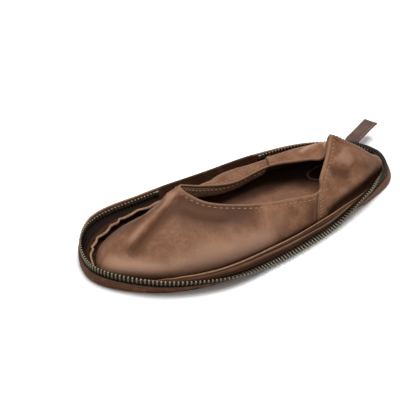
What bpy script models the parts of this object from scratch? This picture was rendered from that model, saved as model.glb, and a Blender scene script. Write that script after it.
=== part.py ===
"""Soft leather travel slipper, left foot.

A flat leather sole turns up into a low wall all round. The wall carries one half of a metal zip,
and a hollow soft upper stands inside it on the sole. Toe at -X, heel at +X, inner side of the foot
at +Y, outer side at -Y, floor at Z = 0. Sizes below are millimetres.
"""
import math

import bmesh
import bpy
import numpy as np

MM = 0.001
GAP = 0.3

# Driving sizes
SOLE_LENGTH = 284.0
BALL_WIDTH = 101.0
INSTEP_HEIGHT = 50.0

# Sole tray
SOLE_THICK = 3.5
EDGE_RADIUS = 2.2
WALL_THICK = 1.6
SOLE_STEPS = 120

# Upper
UPPER_WALL = 1.8
QUARTER_LAP = 1.0
LAP_SLOPE = 0.6
SEAM_CLEAR = 2.0
UPPER_STEPS = 84
PROFILE_STEPS = 10

# Insole and its patch
INSOLE_THICK = 2.0
INSOLE_MARGIN = 0.7
PATCH_CENTRE = (91.0, 3.0)
PATCH_HALF = (17.0, 10.5)
PATCH_TURN = -8.0
PATCH_THICK = 0.8
PATCH_STEPS = 32

# Zip
TAPE_THICK = 0.9
TAPE_LAP = 3.8
TAPE_STAND = 1.6
ZIP_PAST_BALL = 13.0
TOOTH_PITCH = 2.9
TOOTH_HEIGHT = 3.6
TOOTH_THICK = 2.2
CORD_HEIGHT = 2.0
CORD_THICK = 1.4

# Leather facing that covers the inside of the zip
FACING_THICK = 1.2
FACING_LAP = 4.6
FACING_STEPS = 106
WAVE_LENGTH = 17.0

# Pull strap at the heel
STRAP_WIDTH = 12.5
STRAP_THICK = 2.2
STRAP_HEADING = 17.5
STRAP_SHIFT = 5.0

# Directions along the sole's edge are taken over this share of the way round, to each side.
TANGENT_STEP = 0.004
# Edges sharper than this many degrees stay sharp in the shading.
SHARP_ANGLE = 40.0

# One row for each station round the slipper, in order from the toe along the inner side.
# along and across place the sole's edge as shares of SOLE_LENGTH, from the toe, and of BALL_WIDTH.
# rise is the wall's height and lean its outward tilt in degrees. The zip's tape leaves the wall at
# zip_seat, a share of the wall's height, and zip_lean is the tilt of the teeth.
RIM_COLUMNS = ("along", "across", "rise", "lean", "zip_seat", "zip_lean")
RIM = {
    "toe_tip":       (0.016,  0.085,  8.5,  4.0, 1.00,   8.0),
    "toe_inner":     (0.046,  0.335,  8.5,  4.0, 1.00,   6.0),
    "vamp_inner":    (0.148,  0.505, 13.5, 40.0, 0.60,   6.0),
    "ball_inner":    (0.317,  0.515, 14.2, 38.0, 0.58,   0.0),
    "waist_inner":   (0.510,  0.478, 14.0, 27.0, 0.60,   0.0),
    "arch_inner":    (0.697,  0.430, 14.0, 24.0, 0.62,   0.0),
    "heel_inner":    (0.877,  0.325, 12.0,  8.0, 0.75,  -8.0),
    "back_inner":    (0.988,  0.145,  9.0, -10.0, 1.00, -14.0),
    "back":          (1.018, -0.065,  8.5, -22.0, 1.00, -26.0),
    "heel_ridge":    (1.003, -0.196,  8.5, -26.0, 1.00, -28.0),
    "back_outer":    (0.977, -0.295,  8.5, -26.0, 1.00, -28.0),
    "heel_outer":    (0.852, -0.436,  8.0, 16.0, 1.00,  14.0),
    "quarter_outer": (0.750, -0.462,  7.6, 52.0, 1.00,  56.0),
    "seam_outer":    (0.658, -0.482,  8.0, 82.0, 1.00,  98.0),
    "waist_outer":   (0.553, -0.518,  8.5, 84.0, 1.00, 100.0),
    "ball_outer":    (0.451, -0.538,  8.5, 83.0, 1.00, 100.0),
    "vamp_outer":    (0.264, -0.545,  8.5, 54.0, 1.00,  54.0),
    "toe_outer":     (0.110, -0.340,  8.5, 28.0, 1.00,  22.0),
}

# The upper at the same stations: where it meets the sole, how far in and how high its shoulder is,
# and its top edge. inset is a share of the way from the sole to the top edge, seen from above, and
# heights are shares of INSTEP_HEIGHT. The slack inner quarter folds over its shoulder into the opening.
LAST_COLUMNS = ("along", "across", "inset", "shoulder", "top_along", "top_across", "top_height")
LAST = {
    "toe_tip":       (0.053,  0.060, 0.13, 0.50, 0.310,  0.070, 1.00),
    "toe_inner":     (0.106,  0.262, 0.16, 0.38, 0.320,  0.100, 0.97),
    "vamp_inner":    (0.197,  0.385, 0.34, 0.26, 0.352,  0.130, 0.86),
    "ball_inner":    (0.335,  0.420, 0.36, 0.30, 0.412,  0.155, 0.69),
    "waist_inner":   (0.510,  0.400, 0.38, 0.44, 0.530,  0.165, 0.48),
    "arch_inner":    (0.694,  0.360, 0.40, 0.44, 0.648,  0.150, 0.53),
    "heel_inner":    (0.845,  0.240, 0.50, 0.60, 0.739, -0.022, 0.62),
    "back_inner":    (0.934,  0.070, 0.40, 0.60, 0.770, -0.105, 0.70),
    "back":          (0.978, -0.095, 0.30, 0.36, 0.797, -0.070, 0.94),
    "heel_ridge":    (0.968, -0.188, 0.30, 0.46, 0.794, -0.101, 1.02),
    "back_outer":    (0.932, -0.268, 0.32, 0.53, 0.782, -0.130, 0.97),
    "heel_outer":    (0.832, -0.370, 0.34, 0.47, 0.743, -0.220, 0.83),
    "quarter_outer": (0.731, -0.415, 0.32, 0.37, 0.690, -0.325, 0.68),
    "seam_outer":    (0.641, -0.440, 0.30, 0.29, 0.665, -0.376, 0.52),
    "waist_outer":   (0.546, -0.462, 0.20, 0.34, 0.563, -0.356, 0.61),
    "ball_outer":    (0.458, -0.475, 0.15, 0.42, 0.468, -0.317, 0.71),
    "vamp_outer":    (0.264, -0.430, 0.15, 0.50, 0.356, -0.150, 0.82),
    "toe_outer":     (0.116, -0.215, 0.13, 0.50, 0.317, -0.020, 0.93),
}

# The facing's free edge at the same stations: reach is a share of the way from wall to upper, edge
# is its height, sag its dip on the way, wave the height of its ripples.
FACING_COLUMNS = ("reach", "edge", "sag", "wave")
FACING = {
    "toe_tip":       (0.30,  7.5, 1.5, 0.3),
    "toe_inner":     (0.42, 10.0, 2.0, 0.9),
    "vamp_inner":    (0.50, 11.0, 2.2, 1.3),
    "ball_inner":    (0.50, 11.0, 2.2, 1.0),
    "waist_inner":   (0.50, 10.0, 2.0, 0.0),
    "arch_inner":    (0.50, 10.0, 2.0, 0.0),
    "heel_inner":    (0.50,  9.0, 2.0, 0.0),
    "back_inner":    (0.45,  6.5, 1.0, 0.0),
    "back":          (0.45,  6.0, 0.8, 0.0),
    "heel_ridge":    (0.45,  6.0, 0.8, 0.0),
    "back_outer":    (0.45,  6.0, 0.8, 0.0),
    "heel_outer":    (0.55,  7.0, 0.8, 0.0),
    "quarter_outer": (0.62,  7.5, 0.5, 0.0),
    "seam_outer":    (0.62,  7.5, 0.5, 0.0),
    "waist_outer":   (0.62,  7.5, 0.5, 0.0),
    "ball_outer":    (0.62,  7.5, 0.5, 0.0),
    "vamp_outer":    (0.62,  7.5, 0.8, 0.0),
    "toe_outer":     (0.62,  7.0, 1.0, 0.2),
}

# The strap's middle line at its station, up the outside of the wall and then away from it: out is the
# distance from the sole's edge and turn the share of the way from the wall's outward direction to
# STRAP_HEADING.
STRAP_COLUMNS = ("out", "height", "turn")
STRAP = (
    (1.4,   4.0, 0.0),
    (0.8,   8.0, 0.0),
    (1.4,  10.2, 0.3),
    (3.6,  11.6, 0.8),
    (8.5,  12.2, 1.0),
    (20.0, 12.9, 1.0),
    (34.5, 13.7, 1.0),
)


class Stations:
    """Smooth closed curves through the rows of a table, one for each column."""

    def __init__(self, table, columns, knots):
        values = np.array(list(table.values()))
        self.knots = np.append(knots, 1.0)
        self.values = np.vstack([values, values[:1]])
        steps = np.diff(self.knots)
        slopes = np.diff(self.values, axis=0) / steps[:, None]
        before, after = np.roll(steps, 1), steps
        blend = (np.roll(slopes, 1, axis=0) * after[:, None] + slopes * before[:, None])
        tangents = blend / (before + after)[:, None]
        self.tangents = np.vstack([tangents, tangents[:1]])
        self.columns = columns

    def __call__(self, t):
        """The table's columns at t, a share of the way round, as named values."""
        t = np.asarray(t) % 1.0
        row = np.clip(np.searchsorted(self.knots, t, side="right") - 1, 0, len(self.knots) - 2)
        span = self.knots[row + 1] - self.knots[row]
        s = ((t - self.knots[row]) / span)[:, None]
        a, b = self.values[row], self.values[row + 1]
        da, db = self.tangents[row] * span[:, None], self.tangents[row + 1] * span[:, None]
        mixed = (a * (1 + 2 * s) * (1 - s) ** 2 + da * s * (1 - s) ** 2
                 + b * s ** 2 * (3 - 2 * s) + db * s ** 2 * (s - 1))
        return dict(zip(self.columns, mixed.T))


def rim_knots():
    """Each station's share of the way round the sole's edge, and the edge's length."""
    edge = np.array([(row[0] * SOLE_LENGTH, row[1] * BALL_WIDTH) for row in RIM.values()])
    lengths = np.linalg.norm(np.roll(edge, -1, axis=0) - edge, axis=1)
    return np.append(0.0, np.cumsum(lengths)[:-1]) / lengths.sum(), lengths.sum()


KNOTS, RIM_LENGTH = rim_knots()
STATION = dict(zip(RIM, KNOTS))
rim_at = Stations(RIM, RIM_COLUMNS, KNOTS)
last_at = Stations(LAST, LAST_COLUMNS, KNOTS)
facing_at = Stations(FACING, FACING_COLUMNS, KNOTS)

# The zip runs from the arch on the inner side round the heel, the outer side and the toe to the ball.
# The wall between its ends is a plain band.
ZIP_START = STATION["arch_inner"]
ZIP_END = 1.0 + STATION["ball_inner"] + ZIP_PAST_BALL / RIM_LENGTH
STRAP_STATION = STATION["back_inner"] - STRAP_SHIFT / RIM_LENGTH


def on_floor(along, across):
    """Places seen from above, from shares of the sole's length and width."""
    return np.column_stack([(along - 0.5) * SOLE_LENGTH, across * BALL_WIDTH])


def edge_frame(t):
    """The sole's edge at t and the outward direction there, seen from above."""
    def place(at):
        row = rim_at(at)
        return on_floor(row["along"], row["across"])
    tangent = place(t + TANGENT_STEP) - place(t - TANGENT_STEP)
    tangent /= np.linalg.norm(tangent, axis=1)[:, None]
    return place(t), np.column_stack([-tangent[:, 1], tangent[:, 0]])


def in_section(t, out, height):
    """Points at a distance out from the sole's edge and at a height, one for each t."""
    edge, outward = edge_frame(t)
    flat = edge + np.reshape(out, (-1, 1)) * outward
    return np.column_stack([flat, np.broadcast_to(height, len(flat))])


def wall_line(t, up):
    """The wall's inner face at a distance up it: out from the sole's edge, height and lean."""
    lean = np.radians(rim_at(t)["lean"])
    out = -WALL_THICK * np.cos(lean) + up * np.sin(lean)
    height = EDGE_RADIUS + WALL_THICK * np.sin(lean) + up * np.cos(lean)
    return out, height, lean


def zip_top(t):
    """How far up the wall the zip's tape leaves it."""
    row = rim_at(t)
    return row["zip_seat"] * row["rise"]


def material(name, colour, roughness, metallic=0.0):
    made = bpy.data.materials.new(name)
    made.use_nodes = True
    shader = made.node_tree.nodes["Principled BSDF"]
    shader.inputs["Base Color"].default_value = (*colour, 1.0)
    shader.inputs["Roughness"].default_value = roughness
    shader.inputs["Metallic"].default_value = metallic
    return made


def solid(name, rings, finish, path_closed=False, ring_closed=True):
    """A closed solid over rings of points: ends, or the rings' own first and last points, are capped."""
    mesh = bmesh.new()
    grid = [[mesh.verts.new([float(value) * MM for value in point]) for point in ring] for ring in rings]
    ring_count, point_count = len(grid), len(grid[0])
    for i in range(ring_count if path_closed else ring_count - 1):
        here, there = grid[i], grid[(i + 1) % ring_count]
        for j in range(point_count if ring_closed else point_count - 1):
            k = (j + 1) % point_count
            mesh.faces.new((here[j], here[k], there[k], there[j]))
    if not path_closed:
        mesh.faces.new(grid[0])
        mesh.faces.new(grid[-1])
    if not ring_closed:
        mesh.faces.new([ring[0] for ring in grid])
        mesh.faces.new([ring[-1] for ring in grid])
    bmesh.ops.recalc_face_normals(mesh, faces=mesh.faces)
    data = bpy.data.meshes.new(name)
    mesh.to_mesh(data)
    mesh.free()
    data.shade_smooth()
    data.set_sharp_from_angle(angle=math.radians(SHARP_ANGLE))
    data.materials.append(finish)
    made = bpy.data.objects.new(name, data)
    bpy.context.scene.collection.objects.link(made)
    return made


def around(count, start=0.0, end=1.0, closed=True):
    return np.linspace(start, end, count, endpoint=not closed)


def rings_of(*lines):
    """Rings from lines of points: ring i takes the point i of every line."""
    return np.stack(lines, axis=1)


def sole_rows():
    """Rows round the sole, twice as close at the toe and heel where the wall turns to its flare."""
    rows = around(SOLE_STEPS)
    at_toe = (rows > STATION["toe_inner"]) & (rows < STATION["vamp_inner"])
    at_heel = (rows > STATION["back_outer"]) & (rows < STATION["seam_outer"])
    return np.sort(np.concatenate([rows, rows[at_toe | at_heel] + 0.5 / SOLE_STEPS]))


def make_outsole(leather):
    """Flat sole with a rounded edge and the turned-up wall."""
    t = sole_rows()
    row = rim_at(t)
    lean = np.radians(row["lean"])
    round_in = EDGE_RADIUS * (1 - math.sqrt(0.5))
    top_out = row["rise"] * np.sin(lean)
    top_height = EDGE_RADIUS + row["rise"] * np.cos(lean)
    top_in_out, top_in_height, _ = wall_line(t, row["rise"])
    foot_out, foot_height, _ = wall_line(t, 0.0)
    foot_out = foot_out + (SOLE_THICK - foot_height) * np.tan(lean)
    rings = rings_of(
        in_section(t, np.full_like(t, -EDGE_RADIUS), 0.0),
        in_section(t, np.full_like(t, -round_in), round_in),
        in_section(t, np.zeros_like(t), EDGE_RADIUS),
        in_section(t, top_out, top_height),
        in_section(t, top_in_out, top_in_height),
        in_section(t, foot_out, SOLE_THICK),
    )
    solid("outsole", rings, leather, path_closed=True, ring_closed=False)


def upper_rows():
    """Stations of the upper, with a close pair at each side seam where the quarter laps the vamp."""
    half_slope = 0.5 * LAP_SLOPE / RIM_LENGTH
    seams = [STATION["seam_outer"], STATION["arch_inner"]]
    pairs = [seam + side * half_slope for seam in seams for side in (-1, 1)]
    spaced = around(UPPER_STEPS)
    clear = [t for t in spaced if min(abs(t - seam) for seam in seams) > SEAM_CLEAR / RIM_LENGTH]
    return np.sort(np.concatenate([clear, pairs]))


def above_floor(line, floor):
    """A profile of the inner face, cut off where it dips below the floor, with as many steps as before."""
    under = np.nonzero(line[:, 2] < floor)[0]
    if len(under) == 0:
        return line
    low = under[-1]
    start = low + (floor - line[low, 2]) / (line[low + 1, 2] - line[low, 2])
    places = np.linspace(start, PROFILE_STEPS, PROFILE_STEPS + 1)
    return np.column_stack([np.interp(places, np.arange(PROFILE_STEPS + 1), line[:, k]) for k in range(3)])


def upper_surfaces(t):
    """Outer and inner faces of the upper as grids of points: stations by steps up the profile."""
    row = last_at(t)
    foot = on_floor(row["along"], row["across"])
    top = on_floor(row["top_along"], row["top_across"])
    shoulder = foot + row["inset"][:, None] * (top - foot)
    floor = SOLE_THICK + GAP
    foot = np.column_stack([foot, np.full(len(t), floor)])
    shoulder = np.column_stack([shoulder, row["shoulder"] * INSTEP_HEIGHT])
    top = np.column_stack([top, row["top_height"] * INSTEP_HEIGHT])
    pull = 2 * shoulder - 0.5 * (foot + top)
    v = np.linspace(0, 1, PROFILE_STEPS + 1)[None, :, None]
    outer = (1 - v) ** 2 * foot[:, None] + 2 * v * (1 - v) * pull[:, None] + v ** 2 * top[:, None]
    round_way = np.roll(outer, -1, axis=0) - np.roll(outer, 1, axis=0)
    normal = np.cross(np.gradient(outer, axis=1), round_way)
    normal /= np.linalg.norm(normal, axis=2)[:, :, None]
    inner = outer - UPPER_WALL * normal
    level = normal[:, 0, :2]
    flat_share = np.linalg.norm(level, axis=1)[:, None]
    inner[:, 0, :2] = outer[:, 0, :2] - UPPER_WALL * level / flat_share ** 2
    inner[:, 0, 2] = floor
    inner = np.stack([above_floor(line, floor) for line in inner])
    quarter = (t > STATION["arch_inner"]) & (t < STATION["seam_outer"])
    outer = outer + QUARTER_LAP * quarter[:, None, None] * normal
    outer[:, 0, 2] = floor
    return outer, inner


def make_upper(leather):
    """Hollow upper, open at its top edge and underneath."""
    outer, inner = upper_surfaces(upper_rows())
    rings = np.concatenate([outer, inner[:, ::-1]], axis=1)
    solid("upper", rings, leather, path_closed=True)


def make_insole(leather):
    """Plate on the sole that fills the upper's foot, as far as the inner face lets it."""
    t = upper_rows()
    _, inner = upper_surfaces(t)
    top = SOLE_THICK + GAP + INSOLE_THICK
    foot = inner[:, 0, :2]
    heights = np.maximum.accumulate(inner[:, :, 2], axis=1)
    above = np.array([[np.interp(top + GAP, rise, line[:, k]) for k in (0, 1)]
                      for rise, line in zip(heights, inner)])
    tangent = np.roll(foot, -1, axis=0) - np.roll(foot, 1, axis=0)
    tangent /= np.linalg.norm(tangent, axis=1)[:, None]
    inward = np.column_stack([tangent[:, 1], -tangent[:, 0]])
    depth = np.maximum(0.0, ((above - foot) * inward).sum(axis=1))
    outline = foot + (depth + INSOLE_MARGIN)[:, None] * inward
    rings = [np.column_stack([outline, np.full(len(t), height)]) for height in (SOLE_THICK + GAP, top)]
    solid("insole", rings, leather)


def make_patch(leather):
    """Plain oval patch on the insole under the heel."""
    angle = around(PATCH_STEPS, 0.0, 2 * math.pi)
    turn = math.radians(PATCH_TURN)
    along, across = PATCH_HALF[0] * np.cos(angle), PATCH_HALF[1] * np.sin(angle)
    x = PATCH_CENTRE[0] + along * math.cos(turn) - across * math.sin(turn)
    y = PATCH_CENTRE[1] + along * math.sin(turn) + across * math.cos(turn)
    base = SOLE_THICK + INSOLE_THICK + 2 * GAP
    rings = [np.column_stack([x, y, np.full(PATCH_STEPS, height)])
             for height in (base, base + PATCH_THICK)]
    solid("insole_patch", rings, leather)


def tape_line(t):
    """Middle line of the tape in section: its foot on the wall, where it leaves that and its top."""
    side = GAP + 0.5 * TAPE_THICK
    zip_lean = np.radians(rim_at(t)["zip_lean"])
    points = []
    for below in (TAPE_LAP, 0.0):
        out, height, lean = wall_line(t, zip_top(t) - below)
        points.append((out - side * np.cos(lean), height + side * np.sin(lean)))
    out, height = points[-1]
    points.append((out + TAPE_STAND * np.sin(zip_lean), height + TAPE_STAND * np.cos(zip_lean)))
    return points, lean, zip_lean


def make_tape(cloth):
    """Woven tape sewn inside the wall, with the wall's own rows so that it follows the wall's facets."""
    rows = np.concatenate([sole_rows(), 1.0 + sole_rows()])
    t = np.concatenate([[ZIP_START], rows[(rows > ZIP_START) & (rows < ZIP_END)], [ZIP_END]])
    points, lean, zip_lean = tape_line(t)
    half = 0.5 * TAPE_THICK
    tilts = (lean, 0.5 * (lean + zip_lean), zip_lean)
    sides = []
    for side in (1, -1):
        line = [in_section(t, out + side * half * np.cos(tilt), height - side * half * np.sin(tilt))
                for (out, height), tilt in zip(points, tilts)]
        sides += line if side == 1 else line[::-1]
    solid("zip_tape", rings_of(*sides), cloth)


def make_teeth(metal):
    """Row of teeth on their cord along the tape's top."""
    count = 2 * round((ZIP_END - ZIP_START) * RIM_LENGTH / TOOTH_PITCH) + 1
    t = around(count, ZIP_START, ZIP_END, closed=False)
    points, _, zip_lean = tape_line(t)
    out, height = points[-1]
    tooth = np.arange(count) % 2 == 1
    half = 0.5 * np.where(tooth, TOOTH_THICK, CORD_THICK)
    tall = np.where(tooth, TOOTH_HEIGHT, CORD_HEIGHT)
    up = np.array([np.sin(zip_lean), np.cos(zip_lean)])
    side = np.array([np.cos(zip_lean), -np.sin(zip_lean)])
    corners = []
    for along, across in ((0, -1), (1, -1), (1, 1), (0, 1)):
        shift = (GAP + along * tall) * up + across * half * side
        corners.append(in_section(t, out + shift[0], height + shift[1]))
    solid("zip_teeth", rings_of(*corners), metal)


def make_facing(leather):
    """Thin leather strip from the wall to a free edge beside the upper."""
    t = around(FACING_STEPS, ZIP_START, ZIP_END, closed=False)
    row = facing_at(t)
    last = last_at(t)
    edge, outward = edge_frame(t)
    foot = on_floor(last["along"], last["across"])
    upper_out = ((foot - edge) * outward).sum(axis=1)
    seat_out, seat_height, lean = wall_line(t, zip_top(t) - FACING_LAP)
    side = GAP + 0.5 * FACING_THICK
    seat = (seat_out - side * np.cos(lean), seat_height + side * np.sin(lean))
    ripple = row["wave"] * np.sin(2 * math.pi * t * RIM_LENGTH / WAVE_LENGTH)
    free = (seat[0] + row["reach"] * (upper_out - seat[0]), row["edge"] + ripple)
    knee = (0.5 * (seat[0] + free[0]), 0.5 * (seat[1] + free[1]) - row["sag"])
    line = [np.column_stack(point) for point in (seat, knee, free)]
    runs = (line[1] - line[0], line[2] - line[0], line[2] - line[1])
    lower, upper = [], []
    for point, run in zip(line, runs):
        across = np.column_stack([-run[:, 1], run[:, 0]]) / np.linalg.norm(run, axis=1)[:, None]
        for ends, sign in ((lower, 1), (upper, -1)):
            shifted = point + sign * 0.5 * FACING_THICK * across
            ends.append(in_section(t, shifted[:, 0], shifted[:, 1]))
    solid("zip_facing", rings_of(*lower, *upper[::-1]), leather)


def make_strap(leather):
    """Short strap sewn to the outside of the wall at the heel."""
    edge, outward = edge_frame(np.array([STRAP_STATION]))
    row = dict(zip(STRAP_COLUMNS, np.array(STRAP).T))
    wall_way = math.atan2(outward[0, 1], outward[0, 0])
    heading = wall_way + row["turn"] * (math.radians(STRAP_HEADING) - wall_way)
    steps = np.diff(row["out"], prepend=0.0)[:, None]
    path = edge + np.cumsum(steps * np.column_stack([np.cos(heading), np.sin(heading)]), axis=0)
    path = np.column_stack([path, row["height"]])
    sideways = np.column_stack([-np.sin(heading), np.cos(heading), np.zeros(len(path))])
    run = np.gradient(path, axis=0)
    run /= np.linalg.norm(run, axis=1)[:, None]
    lift = np.cross(run, sideways)
    half_wide, half_thick = 0.5 * STRAP_WIDTH, 0.5 * STRAP_THICK
    rings = rings_of(*[path + wide * half_wide * sideways + thick * half_thick * lift
                       for wide, thick in ((-1, -1), (1, -1), (1, 1), (-1, 1))])
    solid("pull_strap", rings, leather)


def main():
    for item in list(bpy.data.objects):
        bpy.data.objects.remove(item)
    brown = material("brown_leather", (0.135, 0.066, 0.038), 0.55)
    dark = material("dark_leather", (0.085, 0.042, 0.026), 0.6)
    make_outsole(material("sole_leather", (0.11, 0.05, 0.03), 0.6))
    make_upper(brown)
    make_insole(material("insole_leather", (0.12, 0.055, 0.03), 0.65))
    make_patch(dark)
    make_tape(material("tape_cloth", (0.03, 0.022, 0.018), 0.85))
    make_teeth(material("zip_metal", (0.16, 0.14, 0.12), 0.4, 1.0))
    make_facing(material("facing_leather", (0.15, 0.075, 0.042), 0.6))
    make_strap(material("strap_leather", (0.10, 0.055, 0.038), 0.6))


main()
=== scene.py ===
import math

import bmesh
import bpy
import numpy as np
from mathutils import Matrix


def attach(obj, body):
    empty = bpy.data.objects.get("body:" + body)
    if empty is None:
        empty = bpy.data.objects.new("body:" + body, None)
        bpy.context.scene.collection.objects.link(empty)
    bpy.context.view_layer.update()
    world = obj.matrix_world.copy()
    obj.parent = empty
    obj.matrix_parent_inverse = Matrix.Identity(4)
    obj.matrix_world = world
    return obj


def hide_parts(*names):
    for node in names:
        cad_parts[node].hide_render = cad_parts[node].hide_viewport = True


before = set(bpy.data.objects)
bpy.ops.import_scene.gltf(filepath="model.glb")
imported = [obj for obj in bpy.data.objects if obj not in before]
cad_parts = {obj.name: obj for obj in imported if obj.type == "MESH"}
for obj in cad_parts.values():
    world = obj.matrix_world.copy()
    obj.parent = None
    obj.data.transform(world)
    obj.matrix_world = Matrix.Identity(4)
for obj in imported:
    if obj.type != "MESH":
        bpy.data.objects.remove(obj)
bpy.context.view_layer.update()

# Soft leather travel slipper, left foot: leather, suede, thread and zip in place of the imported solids.
# Toe at -X, heel at +X, inner side of the foot at +Y, floor at Z = 0. Sizes are millimetres.
# t is a share of the way round the sole's edge from the toe along the inner side,
# and v a share of the way up the upper from the sole to its top edge.

MM = 0.001
GAP = 0.3

# Driving sizes, as in the solids
SOLE_LENGTH = 284.0
BALL_WIDTH = 101.0
INSTEP_HEIGHT = 50.0

# Sole tray
SOLE_THICK = 3.5
EDGE_RADIUS = 2.2
WALL_THICK = 1.6
WALL_PUFF = 0.35
SOLE_ROWS = 520
# The corner between wall and tray, and how far the tray's top runs in: distance in and height.
TRAY_CORNER = ((0.4, 0.25), (1.4, 0.0), (14.0, 0.0))
BASE_ANGLES = (0, 22, 45, 67)
WALL_TOP_ANGLES = (10, 45, 90, 135, 170)
# How much less of the wall's pale cut edge shows under the zip and on the plain stretch.
CUT_HIDDEN_BY_ZIP = 0.8
CUT_HIDDEN_PLAIN = 0.85
# Tones of the sole's leather: a little worn at the heel, and painted shade that deepens from the wall's top
# edge down its inner face to the tray. The plain stretch of wall at the inner waist, which has no zip, is
# darker still.
HEEL_WALL_TONE = 0.2
WALL_EDGE_TONE = -0.5
WALL_EDGE_PLAIN = -0.3
WALL_INSIDE_PAINTED_SHADE = -0.8
WALL_INSIDE_PLAIN = -0.15
TRAY_PAINTED_SHADE = -1.0

# Upper
UPPER_WALL = 1.8
QUARTER_LAP = 1.0
LAP_SLOPE = 0.5
UPPER_ROWS = 480
UPPER_COLUMNS = 58
INNER_COLUMNS = 36
SEAM_REACH = 3.0
SEAM_STEP = 0.25
BASE_ROLL = 1.5
BASE_ROLL_AT = 0.22
BASE_FADE = 0.08
# How far up from its base the upper is darkened.
BASE_DARK_REACH = 0.06
TOP_EDGE_ANGLES = (30, 60, 90, 120, 150)
# Grooves of the outer face, under the top stitches and in front of the quarters' edges.
STITCH_GROOVE = 0.3
STITCH_GROOVE_SPAN = 1 / 30
SEAM_GROOVE = 0.5
SEAM_GROOVE_AT = 0.9
SEAM_GROOVE_WIDTH = 0.7
# Pale cut edge of a quarter, and the dark line beside it: painted shade in front of the lapped edge.
SEAM_PALE = 0.9
SEAM_PALE_WIDTH = 0.5
SEAM_DARK_WIDTH = 0.8

# Suede band inside the vamp's top edge
COLLAR_BELOW = 1.0
COLLAR_WIDTH = 5.0
COLLAR_WIDER = 4.5
COLLAR_WIDEST_AT = 0.06
COLLAR_WIDE_REACH = 130.0
COLLAR_STAND = 1.05
COLLAR_ROWS = 420
COLLAR_PAST_SEAM = 0.012
COLLAR_FREE_FROM = 0.03
# Waves of the band's cut lower edge: height, rate and phase.
COLLAR_RAGGED = ((0.35, 2.1, 0.0), (0.25, 3.7, 1.0))
# The band's section: share of its width, and distance off the upper's inner face.
COLLAR_RINGS = ((0.0, 0.1), (0.0, 0.7), (0.1, 0.95), (0.35, COLLAR_STAND), (0.65, COLLAR_STAND),
                (0.9, 0.9), (1.0, 0.55), (1.0, 0.1))

# Insole and its tab
INSOLE_THICK = 2.0
INSOLE_MARGIN = 0.8
INSOLE_ROWS = 160
INSOLE_COLUMNS = 40
# The insole's edge from the bottom up: inset and height.
INSOLE_RIM = ((0.0, 0.0), (0.0, 1.3), (0.2, 1.75))
INSOLE_LIP = 0.7
# Dent trodden by the ball of the foot, soft waves along the waist, and painted shadow on the insole's inner
# half under the arch.
DENT_DEPTH = 0.7
DENT_CENTRE = (-52.0, 4.0)
DENT_HALF = (42.0, 26.0)
INSOLE_SINK = 0.15
INSOLE_WAVE = 0.14
WAVES_AT = 10.0
WAVES_REACH = 55.0
INSOLE_PAINTED_SHADOW = -1.2
SHADOW_AT = (40.0, 4.0)
SHADOW_REACH = (45.0, 12.0)
PATCH_CENTRE = (91.0, 3.0)
PATCH_HALF = (17.0, 10.5)
PATCH_TURN = -8.0
PATCH_THICK = 0.8
PATCH_ROWS = 120

# Zip
TAPE_THICK = 0.9
TAPE_LAP = 3.8
TAPE_STAND = 1.6
TAPE_ROWS = 560
ZIP_PAST_BALL = 13.0
TOOTH_PITCH = 2.9
TOOTH_LEG = 1.6
STOP_LENGTH = 2.4
# Where the zip stands on top of the wall, the wall's edge ends this much lower, below the teeth.
WALL_DROP = 1.8
CORD_RADIUS = 1.6
CORD_OUT = 1.2
CORD_UP = 0.8
CORD_ROWS = 200
CORD_SIDES = 10
CORD_END_SHARE = 0.25
# Teeth are rubbed pale towards the head: share at the tape's edge, and more for each millimetre up.
TOOTH_PALE = 0.45
TOOTH_PALER = 0.25
# Round the heel the teeth are short, and painted shade darkens them where they sit deep in the heel.
HEEL_TOOTH_SHADE = 0.8
HEEL_TOOTH_SHORT = 0.5

# Leather facing that covers the inside of the zip
FACING_THICK = 1.2
# How much farther off the wall the facing lies where it laps the tape and the teeth's clamps,
# and the span of bare tape over which it changes.
FACING_OVER_ZIP = 1.7
FACING_STEP = 1.6
FACING_ROWS = 620
# The free edge's wave, with the strength and rate of its drift and of a second, finer wave.
WAVE_LENGTH = 17.0
WAVE_DRIFT = 0.8
WAVE_DRIFT_RATE = 0.37
FINE_WAVE = 0.2
FINE_WAVE_RATE = 1.7
RIPPLE_SHARE = 0.8
# Bead along the free edge: its radius, and how much more it has past the toe and on the outer front.
BEAD_RADIUS = 0.85
BEAD_MORE = 0.3
BEAD_FRONT = 1.5
BEAD_ANGLES = (-75, -40, 0, 40, 75)
# Fold line beside the free edge: width of its crest and valley, and where and how deep the valley is.
LIP_WIDTH = 0.9
LIP_VALLEY_AT = 1.5
LIP_VALLEY = 0.9
# The fold's crest gets a painted highlight, and its valley painted shade.
LIP_PALE = 0.6
# Painted shade on the facing's seat under the strip, and on its face past the toe.
FACING_SEAT_COLUMNS = 4
FACING_SEAT_SHADE = -0.8
FACING_TOE_SHADE = -0.5

# Pull strap at the heel
STRAP_WIDTH = 12.5
STRAP_THICK = 2.2
STRAP_HEADING = 17.5
STRAP_SHIFT = 5.0
STRAP_ROWS = 70
STRAP_WAIST = 0.05
STRAP_CUP = 0.5
STRAP_GROOVE = 0.12
STRAP_GROOVE_WIDTH = 0.07
STRAP_STITCH_AT = 0.78
STRAP_STITCH_FROM = 24
STRAP_STITCH_PITCH = 3.4
STRAP_STITCH = 2.0

# Stitches
THREAD_RADIUS = 0.42
FINE_THREAD_RADIUS = 0.3
TOP_STITCH_BELOW = 3.2
TOP_STITCH_PITCH = 4.6
TOP_STITCH = 2.9
QUARTER_STITCH_PITCH = 3.6
QUARTER_STITCH = 2.2
QUARTER_STITCH_FROM = 0.03
HEEL_STITCH_OFF = 2.6
HEEL_STITCH = 2.4
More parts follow.
